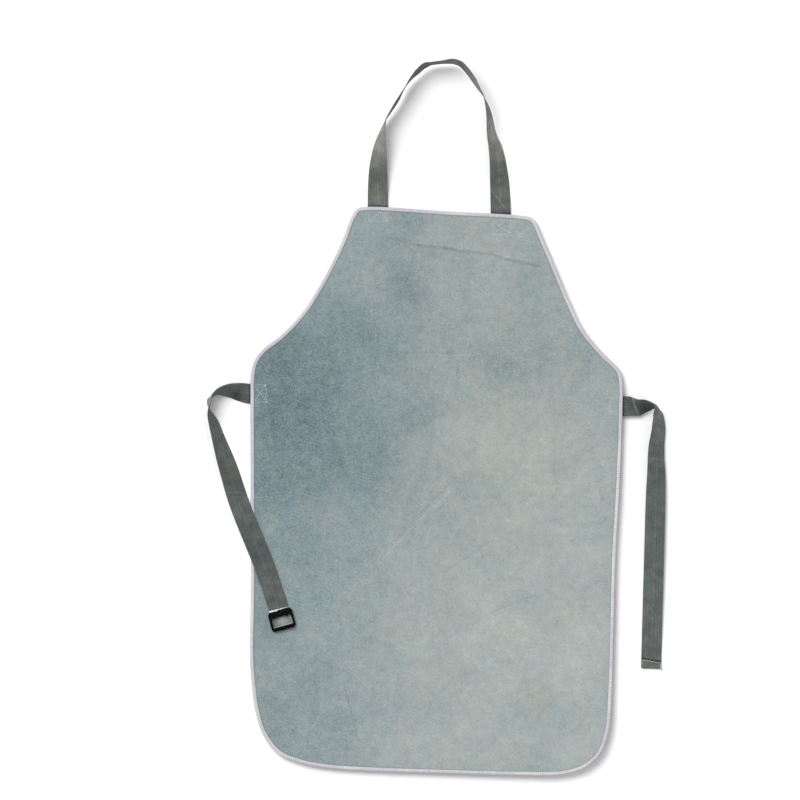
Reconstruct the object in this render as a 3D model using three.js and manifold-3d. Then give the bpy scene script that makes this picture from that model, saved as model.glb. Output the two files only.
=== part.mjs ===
// A leather welding apron laid flat, front up: a one-piece suede panel with a bound rim, a webbing neck loop,
// and two webbing waist ties, the left one ending in a buckle. Millimetres, +Z up, the bib towards +Y.
import * as THREE from "three";
import { mergeVertices } from "three/addons/utils/BufferGeometryUtils.js";
import Module from "manifold-3d";

const wasm = await Module();
wasm.setup();

// Panel: overall sizes over the binding
const BODY_WIDTH = 595;
const BODY_LENGTH = 910;
const SHOULDER_HEIGHT = 654; // hem to where the armholes start
const BIB_WIDTH = 290;
const BIB_SHIFT = 14; // the bib sits this far right of the skirt's middle
const LEATHER = 1.5;

// Relief of the panel as it lies
const RIM_LIFT = 16; // the most that the rim curls up
const LIFT_REACH = 95; // how far in from the rim the curl fades out
const SEAT_REACH = 25; // how far in the rise over the binding fades out
const FOLD_HEIGHT = 1.6; // the packing fold across the bib
const FOLD_REACH = 20;
const BUMP_PLATEAU = 16; // round a sewn strap end the leather stays raised this far out
const BUMP_REACH = 24; // and fades back to its rest over this much more

// Binding: a tape folded over the rim
const BINDING_WIDTH = 5.8;
const BINDING_TAPE = 0.8;
const BINDING_CROWN = 0.3; // the tape's bulge over its middle
const BINDING_SHOULDER = 1.75; // from the outer edge to the bulge
const LEVEL_MARGIN = 2.2; // the leather stays level this much past the binding

// Webbing of the neck strap and the waist ties
const WEBBING_WIDTH = 32;
const WEBBING = 1.5;
const SEWN_LENGTH = 26; // how far a strap's end runs in behind the panel
const NECK_SPACING = 196.5; // between the two ends of the neck strap
const NECK_SHIFT = 4; // the neck strap's middle, right of the skirt's middle
const NECK_RISE = 236; // the loop's height above the bib
const NECK_LIFT = 9; // how far the loop's top stands off the surface
const LEFT_TIE_BELOW = 43; // below the shoulder height
const LEFT_TIE_REACH = 66;
const LEFT_TIE_DROP = 372;
const BUCKLE_INSET = 53; // from the panel's side to the tie's end
const RIGHT_TIE_BELOW = 63;
const RIGHT_TIE_REACH = 58;
const RIGHT_TIE_DROP = 418;
const HEM_FOLD = 12; // the folded end of the right tie
const HEM_ROOT = 1.5; // how far the fold's root reaches back into the tie
const HEM_SLIT = 0.75; // the space inside the fold
const BRIDGE = 22; // how far the webbing spans ahead of a step

// Buckle
const BUCKLE_SIDE = 3.3; // each side bar's width
const BUCKLE_FOOT = 5.6; // the bottom bar's depth
const BUCKLE_BAR = 10.4; // the clamping bar's depth
const BUCKLE_WINDOW = 16; // the window's length along the tie
const BUCKLE_HEIGHT = 5.2;
const BUCKLE_RADIUS = 5.5;
const WINDOW_RADIUS = 1.4;
const BUCKLE_BEVEL = 0.7;
const BUCKLE_HEADING = 285; // the tie's heading through the buckle, in degrees
const NOTCH_WIDTH = 3.4; // the two notches in the clamping bar
const NOTCH_DEPTH = 2;
const NOTCH_PLACES = [13.4, 5.2]; // each notch's middle, right of the buckle's own
const TEETH_WIDTH = 29.4; // the toothed strip across the tie
const TEETH_DEPTH = 2.6;
const TEETH_THICKNESS = 1;
const TOOTH_HEIGHT = 1.1;
const TOOTH_COUNT = 9;

const GAP = 0.3; // between touching pieces
const CHANNEL_PLAY = 0.5; // each side of the webbing in the buckle
const CUT_MARGIN = 0.01; // keeps a cut's wall off the wall that it would share

// Mesh steps
const RIM_COLUMNS = 24; // along the hem and the bib's top
const RIM_ROWS = 46; // along each side
const CORNER_STEPS = 60; // a radian of the rim's turn gets the samples of this many millimetres
const STRAP_STEPS = 46;
const ACROSS_STEPS = 3; // panes across the webbing
const CURVE_POINTS = 400; // fine points that each curve is measured by

// The rim, anticlockwise. Skirt rows: across is a share of half the width, up of the shoulder height.
// Armhole rows: across and up are shares of the way from the shoulder to the bib's corner.
// Bib rows: across is a share of half the bib's width, drop of its whole width.
// Lift is a share of RIM_LIFT. Four rows are the corners between hem, sides and bib top.
const rightSkirtRows = [
  { across: 0.879, up: 0.053, lift: 1.0, corner: true },
  { across: 0.925, up: 0.111, lift: 1.0 },
  { across: 0.942, up: 0.209, lift: 0.85 },
  { across: 0.952, up: 0.356, lift: 0.75 },
  { across: 0.963, up: 0.539, lift: 0.7 },
  { across: 0.983, up: 0.696, lift: 0.7 },
  { across: 0.998, up: 0.87, lift: 0.5 },
  { across: 0.999, up: 0.965, lift: 0.45 },
  { across: 0.985, up: 0.99, lift: 0.45 },
];
const rightArmholeRows = [
  { across: 0.103, up: 0.02, lift: 0.45 },
  { across: 0.226, up: 0.083, lift: 0.45 },
  { across: 0.46, up: 0.238, lift: 0.45 },
  { across: 0.616, up: 0.411, lift: 0.45 },
  { across: 0.758, up: 0.595, lift: 0.4 },
  { across: 0.94, up: 0.827, lift: 0.35 },
];
const bibRows = [
  { across: 0.998, drop: 0.083, lift: 0.25 },
  { across: 0.935, drop: 0.058, lift: 0.2, corner: true },
  { across: 0.819, drop: 0.048, lift: 0.15 },
  { across: 0.027, drop: 0.025, lift: 0.1 },
  { across: -0.88, drop: 0.001, lift: 0.1 },
  { across: -0.975, drop: 0.012, lift: 0.1, corner: true },
];
const leftArmholeRows = [
  { across: 0.966, up: 0.933, lift: 0.1 },
  { across: 0.869, up: 0.773, lift: 0.1 },
  { across: 0.706, up: 0.557, lift: 0.1 },
  { across: 0.505, up: 0.348, lift: 0.1 },
  { across: 0.297, up: 0.201, lift: 0.1 },
  { across: 0.11, up: 0.105, lift: 0.1 },
];
const leftSkirtRows = [
  { across: -0.98, up: 1.015, lift: 0.1 },
  { across: -0.998, up: 0.985, lift: 0.1 },
  { across: -1.002, up: 0.919, lift: 0.05 },
  { across: -1.001, up: 0.723, lift: 0 },
  { across: -1.001, up: 0.429, lift: 0 },
  { across: -1.006, up: 0.307, lift: 0 },
  { across: -0.996, up: 0.229, lift: 0.1 },
  { across: -0.975, up: 0.158, lift: 0.25 },
  { across: -0.933, up: 0.1, lift: 0.4 },
  { across: -0.85, up: 0.053, lift: 0.5, corner: true },
];
const hemRows = [
  { across: -0.726, up: 0.03, lift: 0.55 },
  { across: -0.575, up: 0.018, lift: 0.55 },
  { across: -0.328, up: 0.011, lift: 0.6 },
  { across: 0.016, up: 0.006, lift: 0.65 },
  { across: 0.446, up: 0.001, lift: 0.75 },
  { across: 0.662, up: 0.002, lift: 0.85 },
  { across: 0.791, up: 0.018, lift: 0.95 },
];

// The packing fold: across is a share of half the bib's width, drop of its whole width
const foldRows = [
  { across: -0.72, drop: 0.18 },
  { across: -0.3, drop: 0.21 },
  { across: 0.2, drop: 0.265 },
  { across: 0.93, drop: 0.335 },
];

// Straps, from the sewn end on. Heading is the way that the strap runs, in degrees from +X; roll turns it
// about that heading, 0 flat with its front up, 90 on edge, 180 turned over; curl cups it across its width.
// Neck strap: across is a share of the spacing, up of the rise above the line between its ends.
const neckRows = [
  { across: 0, up: 0, heading: 90, roll: 0, curl: 0, lift: 0 },
  { across: 0.001, up: 0.21, heading: 90, roll: 20, curl: 0.02, lift: 0 },
  { across: 0.015, up: 0.401, heading: 86, roll: 50, curl: 0.03, lift: 0.2 },
  { across: 0.037, up: 0.497, heading: 74, roll: 70, curl: 0.03, lift: 0.45 },
  { across: 0.065, up: 0.591, heading: 62, roll: 89, curl: 0.02, lift: 0.7 },
  { across: 0.104, up: 0.65, heading: 58, roll: 94, curl: 0.02, lift: 0.85 },
  { across: 0.155, up: 0.72, heading: 57, roll: 96, curl: 0.02, lift: 0.95 },
  { across: 0.224, up: 0.822, heading: 60, roll: 90, curl: 0, lift: 1 },
  { across: 0.267, up: 0.878, heading: 55, roll: 95, curl: 0.02, lift: 1 },
  { across: 0.33, up: 0.937, heading: 45, roll: 103, curl: 0.02, lift: 1 },
  { across: 0.387, up: 0.978, heading: 30, roll: 104, curl: 0.02, lift: 1 },
  { across: 0.439, up: 0.992, heading: 4, roll: 97, curl: 0.02, lift: 1 },
  { across: 0.51, up: 1.003, heading: 5, roll: 97, curl: 0.02, lift: 1 },
  { across: 0.603, up: 1.015, heading: -2, roll: 103, curl: 0.02, lift: 1 },
  { across: 0.666, up: 1.004, heading: -35, roll: 104, curl: 0.02, lift: 1 },
  { across: 0.718, up: 0.967, heading: -52, roll: 103, curl: 0.02, lift: 1 },
  { across: 0.779, up: 0.902, heading: -57, roll: 102, curl: 0.02, lift: 1 },
  { across: 0.824, up: 0.84, heading: -60, roll: 96, curl: 0.02, lift: 0.95 },
  { across: 0.862, up: 0.789, heading: -64, roll: 90, curl: 0, lift: 0.9 },
  { across: 0.905, up: 0.678, heading: -80, roll: 75, curl: 0.02, lift: 0.7 },
  { across: 0.928, up: 0.54, heading: -84, roll: 62, curl: 0.03, lift: 0.45 },
  { across: 0.959, up: 0.446, heading: -86, roll: 47, curl: 0.03, lift: 0.25 },
  { across: 0.977, up: 0.352, heading: -88, roll: 36, curl: 0.02, lift: 0.1 },
  { across: 0.995, up: 0.163, heading: -90, roll: 12, curl: 0.01, lift: 0 },
  { across: 1, up: 0, heading: -90, roll: 0, curl: 0, lift: 0 },
];
// Left tie: across is a share of the reach outside the panel, and of the buckle's inset over it;
// down is a share of the drop, lift of the root's height, and over is 1 where the tie lies on the panel.
const leftTieRows = [
  { across: 0, down: 0, heading: 180, roll: 0, curl: 0, lift: 1 },
  { across: -0.266, down: -0.006, heading: 182, roll: 23, curl: 0.02, lift: 0.6 },
  { across: -0.507, down: -0.01, heading: 188, roll: 45, curl: 0.05, lift: 0.2 },
  { across: -0.708, down: -0.006, heading: 202, roll: 64, curl: 0.08 },
  { across: -0.86, down: 0.003, heading: 222, roll: 82, curl: 0.09 },
  { across: -0.942, down: 0.014, heading: 238, roll: 92, curl: 0.07 },
  { across: -0.981, down: 0.028, heading: 262, roll: 103, curl: 0.04 },
  { across: -0.998, down: 0.048, heading: 269, roll: 98, curl: 0.03 },
  { across: -1, down: 0.062, heading: 272, roll: 90, curl: 0.03 },
  { across: -0.969, down: 0.086, heading: 280, roll: 76, curl: 0.03 },
  { across: -0.894, down: 0.12, heading: 288, roll: 62, curl: 0.03 },
  { across: -0.765, down: 0.196, heading: 291, roll: 49, curl: 0.02, over: 0.5 },
  { across: -0.515, down: 0.333, heading: 291, roll: 20, curl: 0.01, over: 1 },
  { across: -0.3, down: 0.457, heading: 292, roll: 4, curl: 0, over: 1 },
  { across: 0.15, down: 0.647, heading: 292, roll: 0, curl: 0, over: 1 },
  { across: 0.37, down: 0.724, heading: 290, roll: 0, curl: 0, over: 1 },
  { across: 0.67, down: 0.844, heading: 289, roll: 0, curl: 0, over: 1 },
  { across: 0.83, down: 0.913, heading: 287, roll: 0, curl: 0, over: 1 },
];
// Right tie: across is a share of the reach outside the panel, down of the drop, lift of the root's height.
const rightTieRows = [
  { across: 0, down: 0, heading: 0, roll: 0, curl: 0, lift: 1 },
  { across: 0.201, down: 0, heading: 0, roll: -14, curl: -0.02, lift: 0.95 },
  { across: 0.418, down: 0.004, heading: 8, roll: -33, curl: -0.05, lift: 0.88 },
  { across: 0.626, down: -0.002, heading: -2, roll: -50, curl: -0.1, lift: 0.8 },
  { across: 0.761, down: -0.003, heading: -10, roll: -64, curl: -0.15, lift: 0.7 },
  { across: 0.865, down: 0, heading: -28, roll: -79, curl: -0.19, lift: 0.6 },
  { across: 0.92, down: 0.008, heading: -48, roll: -95, curl: -0.19, lift: 0.5 },
  { across: 0.964, down: 0.021, heading: -62, roll: -112, curl: -0.14, lift: 0.45 },
  { across: 0.997, down: 0.04, heading: -74, roll: -123, curl: -0.09, lift: 0.45 },
  { across: 1, down: 0.076, heading: -82, roll: -133, curl: -0.06, lift: 0.5 },
  { across: 0.975, down: 0.11, heading: -87, roll: -138, curl: -0.04, lift: 0.55 },
  { across: 0.931, down: 0.156, heading: -91, roll: -143, curl: -0.03, lift: 0.62 },
  { across: 0.923, down: 0.198, heading: -91, roll: -147, curl: -0.03, lift: 0.7 },
  { across: 0.925, down: 0.243, heading: -91, roll: -154, curl: -0.02, lift: 0.78 },
  { across: 0.905, down: 0.357, heading: -91.5, roll: -170, curl: -0.01, lift: 0.9 },
  { across: 0.873, down: 0.525, heading: -91.5, roll: -180, curl: 0, lift: 0.9 },
  { across: 0.79, down: 0.951, heading: -91.5, roll: -180, curl: 0, lift: 0.15 },
  { across: 0.781, down: 1, heading: -91.5, roll: -180, curl: 0, lift: 0 },
];

const RIM_SEAT = GAP + BINDING_TAPE; // the leather's underside over the binding's lower flange
const STRAP_SEAT = WEBBING + GAP; // the leather's extra rise over a strap's sewn end
const BINDING_HALF = LEATHER / 2 + GAP + BINDING_TAPE;
const LEVEL_STRIP = BINDING_WIDTH + LEVEL_MARGIN;
const BUCKLE_WIDTH = WEBBING_WIDTH + 2 * (CHANNEL_PLAY + BUCKLE_SIDE);
const radians = THREE.MathUtils.degToRad;
const lerp = THREE.MathUtils.lerp;
const fade = (share) => 1 - THREE.MathUtils.smoothstep(share, 0, 1);

// A closed mesh from points and triangle indices
function meshFrom(points, triangles) {
  const geometry = new THREE.BufferGeometry();
  geometry.setAttribute("position", new THREE.Float32BufferAttribute(points.flat(), 3));
  geometry.setIndex(triangles.flat());
  geometry.computeVertexNormals();
  return geometry;
}

// The closed rim curve, with its lift in z
function rimCurve() {
  const skirt = (row) => [(row.across * BODY_WIDTH) / 2, row.up * SHOULDER_HEIGHT];
  const armhole = (side) => (row) => [
    lerp((side * BODY_WIDTH) / 2, BIB_SHIFT + (side * BIB_WIDTH) / 2, row.across),
    lerp(SHOULDER_HEIGHT, BODY_LENGTH, row.up),
  ];
  const bib = (row) => [
    BIB_SHIFT + (row.across * BIB_WIDTH) / 2,
    BODY_LENGTH - row.drop * BIB_WIDTH,
  ];
  const groups = [
    [rightSkirtRows, skirt],
    [rightArmholeRows, armhole(1)],
    [bibRows, bib],
    [leftArmholeRows, armhole(-1)],
    [leftSkirtRows, skirt],
    [hemRows, skirt],
  ];
  const points = [];
  const corners = [];
  for (const [rows, place] of groups) {
    for (const row of rows) {
      if (row.corner) corners.push(points.length);
      points.push(new THREE.Vector3(...place(row), row.lift * RIM_LIFT));
    }
  }
  const curve = new THREE.CatmullRomCurve3(points, true, "centripetal");
  return { curve, corners: corners.map((index) => index / points.length) };
}

// Samples one side of the rim, closer together where it turns
function sampleSide(curve, from, to, count) {
  const fine = CURVE_POINTS;
  const points = [];
  for (let i = 0; i <= fine; i += 1) points.push(curve.getPoint(lerp(from, to, i / fine) % 1));
  const weight = [0];
  for (let i = 1; i <= fine; i += 1) {
    const step = points[i].clone().sub(points[i - 1]);
    const next = points[Math.min(i + 1, fine)].clone().sub(points[Math.min(i, fine - 1)]);
    weight.push(weight[i - 1] + step.length() + CORNER_STEPS * step.angleTo(next));
  }
  const samples = [];
  let at = 0;
  for (let k = 0; k < count; k += 1) {
    const wanted = (weight[fine] * k) / count;
    while (weight[at + 1] < wanted) at += 1;
    const share = (wanted - weight[at]) / (weight[at + 1] - weight[at]);
    samples.push(points[at].clone().lerp(points[at + 1], share));
  }
  return samples;
}

// The rim's samples with their outward normals: right side, bib top, left side, hem
function rimSamples() {
  const { curve, corners } = rimCurve();
  const counts = [RIM_ROWS, RIM_COLUMNS, RIM_ROWS, RIM_COLUMNS];
  const samples = counts.flatMap((count, side) => {
    const to = side < 3 ? corners[side + 1] : corners[0] + 1;
    return sampleSide(curve, corners[side], to, count);
  });
  return samples.map((point, i) => {
    const before = samples[(i + samples.length - 1) % samples.length];
    const after = samples[(i + 1) % samples.length];
    const inTo = point.clone().sub(before).setZ(0).normalize();
    const outOf = after.clone().sub(point).setZ(0).normalize();
    const along = inTo.add(outOf).normalize();
    return { x: point.x, y: point.y, lift: Math.max(point.z, 0), nx: along.y, ny: -along.x };
  });
}

const rim = rimSamples();
const inset = (sample, distance) => [sample.x - sample.nx * distance, sample.y - sample.ny * distance];

// The nearest place on the rim: its distance and its lift
function nearestRim(x, y) {
  let best = { distance: Infinity, lift: 0 };
  rim.forEach((a, i) => {
    const b = rim[(i + 1) % rim.length];
    const dx = b.x - a.x;
    const dy = b.y - a.y;
    const share = THREE.MathUtils.clamp(((x - a.x) * dx + (y - a.y) * dy) / (dx * dx + dy * dy), 0, 1);
    const distance = Math.hypot(x - a.x - dx * share, y - a.y - dy * share);
    if (distance < best.distance) {
      const side = (x - a.x) * dy - (y - a.y) * dx;
      best = { distance, lift: lerp(a.lift, b.lift, share), inside: side < 0 };
    }
  });
  return best;
}

// Where the rim crosses a line through the panel: its height at x on the bib, its side at a height
function rimTop(x) {
  const crossings = rim.flatMap((a, i) => {
    const b = rim[(i + 1) % rim.length];
    if ((a.x - x) * (b.x - x) > 0) return [];
    return [lerp(a.y, b.y, (x - a.x) / (b.x - a.x))];
  });
  return Math.max(...crossings);
}
function rimSide(side, y) {
  const crossings = rim.flatMap((a, i) => {
    const b = rim[(i + 1) % rim.length];
    if ((a.y - y) * (b.y - y) > 0) return [];
    return [lerp(a.x, b.x, (y - a.y) / (b.y - a.y))];
  });
  return side > 0 ? Math.max(...crossings) : Math.min(...crossings);
}

// The straps' roots on the rim
const neckLeft = { x: NECK_SHIFT - NECK_SPACING / 2 };
const neckRight = { x: NECK_SHIFT + NECK_SPACING / 2 };
neckLeft.y = rimTop(neckLeft.x);
neckRight.y = rimTop(neckRight.x);
const leftRoot = { y: SHOULDER_HEIGHT - LEFT_TIE_BELOW };
leftRoot.x = rimSide(-1, leftRoot.y);
const rightRoot = { y: SHOULDER_HEIGHT - RIGHT_TIE_BELOW };
rightRoot.x = rimSide(1, rightRoot.y);

// Each sewn end as a segment from the root inwards
const neckLeftEnd = { root: neckLeft, dx: 0, dy: -1 };
const neckRightEnd = { root: neckRight, dx: 0, dy: -1 };
const leftTieEnd = { root: leftRoot, dx: 1, dy: 0 };
const rightTieEnd = { root: rightRoot, dx: -1, dy: 0 };
const sewnEnds = [neckLeftEnd, neckRightEnd, leftTieEnd, rightTieEnd];

// How far a place lies outside the nearest sewn end
function beyondSewnEnd(x, y) {
  return Math.min(
    ...sewnEnds.map(({ root, dx, dy }) => {
      const along = (x - root.x) * dx + (y - root.y) * dy;
      const aside = Math.abs((x - root.x) * dy - (y - root.y) * dx);
      const past = Math.max(along - SEWN_LENGTH, -along, 0);
      return Math.hypot(past, Math.max(aside - WEBBING_WIDTH / 2, 0));
    }),
  );
}

const foldLine = foldRows.map((row) => ({
  x: BIB_SHIFT + (row.across * BIB_WIDTH) / 2,
  y: BODY_LENGTH - row.drop * BIB_WIDTH,
}));

function foldDistance(x, y) {
  let best = Infinity;
  for (let i = 1; i < foldLine.length; i += 1) {
    const a = foldLine[i - 1];
    const dx = foldLine[i].x - a.x;
    const dy = foldLine[i].y - a.y;
    const share = THREE.MathUtils.clamp(((x - a.x) * dx + (y - a.y) * dy) / (dx * dx + dy * dy), 0, 1);
    best = Math.min(best, Math.hypot(x - a.x - dx * share, y - a.y - dy * share));
  }
  return best;
}

// The height of the leather's underside. The rim's strip under the binding stays level.
function underside(x, y, near = nearestRim(x, y)) {
  const inward = Math.max(near.distance - LEVEL_STRIP, 0);
  const seat = RIM_SEAT * fade(inward / SEAT_REACH);
  const curl = near.lift * fade(inward / LIFT_REACH);
  const bump = STRAP_SEAT * fade((beyondSewnEnd(x, y) - BUMP_PLATEAU) / BUMP_REACH);
  const fold = FOLD_HEIGHT * fade(foldDistance(x, y) / FOLD_REACH);
  return seat + curl + bump + fold;
}

// The height of the rim at a sample, the same across the whole flat strip
rim.forEach((sample) => {
  const [x, y] = inset(sample, LEVEL_STRIP);
  sample.under = underside(x, y, { distance: LEVEL_STRIP, lift: sample.lift });
});

// How high a strap lies behind the leather, or behind the binding at its root
function sewnLift({ root, dx, dy }, inward) {
  const heights = [-WEBBING_WIDTH / 2, 0, WEBBING_WIDTH / 2].map((aside) =>
    underside(root.x + dx * inward - dy * aside, root.y + dy * inward + dx * aside),
  );
  const behind = STRAP_SEAT + (inward < BINDING_WIDTH ? RIM_SEAT : 0);
  return Math.max(Math.min(...heights) - behind, 0);
}

// The leather panel: a level strip along the rim, and a grid stretched between the four sides inside it
function panelGeometry() {
  const inner = rim.map((sample) => inset(sample, LEVEL_STRIP));
  const right = (j) => inner[j];
  const top = (i) => inner[(RIM_ROWS + RIM_COLUMNS - i) % inner.length];
  const left = (j) => inner[2 * RIM_ROWS + RIM_COLUMNS - j];
  const hem = (i) => inner[(2 * RIM_ROWS + RIM_COLUMNS + i) % inner.length];
  const ringIndex = (i, j) => {
    if (i === RIM_COLUMNS) return j;
    if (j === RIM_ROWS) return RIM_ROWS + RIM_COLUMNS - i;
    if (i === 0) return 2 * RIM_ROWS + RIM_COLUMNS - j;
    if (j === 0) return 2 * RIM_ROWS + RIM_COLUMNS + i;
    return -1;
  };
  const under = [];
  const ids = [];
  for (const sample of rim) under.push([...inset(sample, BINDING_TAPE + GAP), sample.under]);
  for (const [k, sample] of rim.entries()) under.push([...inner[k], sample.under]);
  for (let j = 0; j <= RIM_ROWS; j += 1) {
    ids.push([]);
    for (let i = 0; i <= RIM_COLUMNS; i += 1) {
      const onRing = ringIndex(i, j);
      if (onRing >= 0) {
        ids[j].push(rim.length + onRing);
        continue;
      }
      const u = i / RIM_COLUMNS;
      const v = j / RIM_ROWS;
      const blend = (axis) =>
        lerp(left(j)[axis], right(j)[axis], u) +
        lerp(hem(i)[axis], top(i)[axis], v) -
        lerp(
          lerp(left(0)[axis], right(0)[axis], u),
          lerp(left(RIM_ROWS)[axis], right(RIM_ROWS)[axis], u),
          v,
        );
      const x = blend(0);
      const y = blend(1);
      ids[j].push(under.length);
      under.push([x, y, underside(x, y)]);
    }
  }
  const faces = [];
  const pane = (a, b, c, d) => faces.push([a, b, c], [a, c, d]);
  for (let k = 0; k < rim.length; k += 1) {
    const next = (k + 1) % rim.length;
    pane(k, next, rim.length + next, rim.length + k);
  }
  for (let j = 0; j < RIM_ROWS; j += 1) {
    for (let i = 0; i < RIM_COLUMNS; i += 1) {
      const corners = [ids[j][i], ids[j][i + 1], ids[j + 1][i + 1], ids[j + 1][i]];
      // A corner pane is split from its own corner, which lies on a nearly straight stretch of rim
      const hemRight = i === RIM_COLUMNS - 1 && j === 0;
      const topLeft = i === 0 && j === RIM_ROWS - 1;
      if (hemRight || topLeft) pane(corners[1], corners[2], corners[3], corners[0]);
      else pane(...corners);
    }
  }
  const count = under.length;
  const over = under.map(([x, y, z]) => [x, y, z + LEATHER]);
  const triangles = faces.map(([a, b, c]) => [a, c, b]);
  for (const face of faces) triangles.push(face.map((id) => id + count));
  for (let k = 0; k < rim.length; k += 1) {
    const next = (k + 1) % rim.length;
    triangles.push([k, next, next + count], [k, next + count, k + count]);
  }
  return meshFrom([...under, ...over], triangles);
}

// The binding: out is measured from the rim's outer edge, up from the leather's middle
function bindingGeometry() {
  const slot = LEATHER / 2 + GAP;
  const profile = [
    { out: -BINDING_WIDTH, up: slot },
    { out: -BINDING_TAPE, up: slot },
    { out: -BINDING_TAPE, up: -slot },
    { out: -BINDING_WIDTH, up: -slot },
    { out: -BINDING_WIDTH, up: -BINDING_HALF },
    { out: -BINDING_SHOULDER, up: -BINDING_HALF },
    { out: 0, up: -slot / 2 },
    { out: 0, up: slot / 2 },
    { out: -BINDING_SHOULDER, up: BINDING_HALF + BINDING_CROWN },
    { out: -BINDING_WIDTH + BINDING_TAPE, up: BINDING_HALF },
  ];
  const points = rim.flatMap((sample) =>
    profile.map(({ out, up }) => [...inset(sample, -out), sample.under + LEATHER / 2 + up]),
  );
  const triangles = [];
  const count = profile.length;
  for (let k = 0; k < rim.length; k += 1) {
    const here = k * count;
    const there = ((k + 1) % rim.length) * count;
    for (let p = 0; p < count; p += 1) {
      const q = (p + 1) % count;
      triangles.push([here + p, there + p, there + q], [here + p, there + q, here + q]);
    }
  }
  return meshFrom(points, triangles);
}

// The top of what lies at a place: the surface, the leather or the binding
function topAt(x, y) {
  const near = nearestRim(x, y);
  if (!near.inside) return 0;
  const onBinding = near.distance < BINDING_WIDTH;
  const leatherTop = underside(x, y, near) + LEATHER;
  return leatherTop + (onBinding ? GAP + BINDING_TAPE + BINDING_CROWN : 0);
}

// Smooth values between table rows, without overshoot
function smoothColumn(knots, values) {
  const slopes = values.map((value, i) => {
    if (i === 0) return (values[1] - value) / (knots[1] - knots[0]);
    if (i === values.length - 1) return (value - values[i - 1]) / (knots[i] - knots[i - 1]);
    const before = (value - values[i - 1]) / (knots[i] - knots[i - 1]);
    const after = (values[i + 1] - value) / (knots[i + 1] - knots[i]);
    return before * after <= 0 ? 0 : (2 * before * after) / (before + after);
  });
  return (at) => {
    let i = 0;
    while (i < knots.length - 2 && at > knots[i + 1]) i += 1;
    const width = knots[i + 1] - knots[i];
    const t = (at - knots[i]) / width;
    const rest = 1 - t;
    return (
      values[i] * (1 + 2 * t) * rest * rest +
      slopes[i] * width * t * rest * rest +
      values[i + 1] * t * t * (3 - 2 * t) -
      slopes[i + 1] * width * t * t * rest
    );
  };
}

// Samples a strap's placed rows: x, y, heading, roll, curl, lift in millimetres, over as a share
function strapSections(rows) {
  const knots = [0];
  for (let i = 1; i < rows.length; i += 1) {
    knots.push(knots[i - 1] + Math.hypot(rows[i].x - rows[i - 1].x, rows[i].y - rows[i - 1].y));
  }
  const names = ["x", "y", "heading", "roll", "curl", "lift", "over"];
  const columns = Object.fromEntries(
    names.map((name) => [name, smoothColumn(knots, rows.map((row) => row[name] ?? 0))]),
  );
  const fine = CURVE_POINTS;
  const total = knots[knots.length - 1];
  const twistLength = WEBBING_WIDTH; // a radian of twist or turn gets as many sections as this length
  const weights = [0];
  const value = (name, k) => columns[name]((total * k) / fine);
  for (let k = 1; k <= fine; k += 1) {
    const change = (name) => Math.abs(value(name, k) - value(name, k - 1));
    const turn = change("roll") + change("heading");
    weights.push(weights[k - 1] + total / fine + twistLength * radians(turn));
  }
  const sections = [];
  let at = 0;
  for (let k = 0; k <= STRAP_STEPS; k += 1) {
    const wanted = (weights[fine] * k) / STRAP_STEPS;
    while (at < fine - 1 && weights[at + 1] < wanted) at += 1;
    const where = (total * (at + (wanted - weights[at]) / (weights[at + 1] - weights[at]))) / fine;
    sections.push({ where, ...Object.fromEntries(names.map((name) => [name, columns[name](where)])) });
  }
  return sections;
}

// The height that a strap needs at each section to clear what it crosses, with the webbing's own stiffness
function supportHeights(sections) {
  const raw = sections.map(({ x, y, heading, roll, over }) => {
    if (over <= 0) return 0;
    const half = (WEBBING_WIDTH / 2) * Math.abs(Math.cos(radians(roll)));
    const rx = Math.sin(radians(heading));
    const ry = -Math.cos(radians(heading));
    const tops = [-1, -0.5, 0, 0.5, 1].map((side) => topAt(x + rx * half * side, y + ry * half * side));
    return over * Math.max(...tops);
  });
  const spanned = (values, k) =>
    values.filter((_, j) => Math.abs(sections[j].where - sections[k].where) <= BRIDGE);
  const highest = sections.map((_, k) => Math.max(...spanned(raw, k)));
  return sections.map((_, k) => {
    const near = spanned(highest, k);
    return near.reduce((sum, height) => sum + height, 0) / near.length;
  });
}

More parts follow.
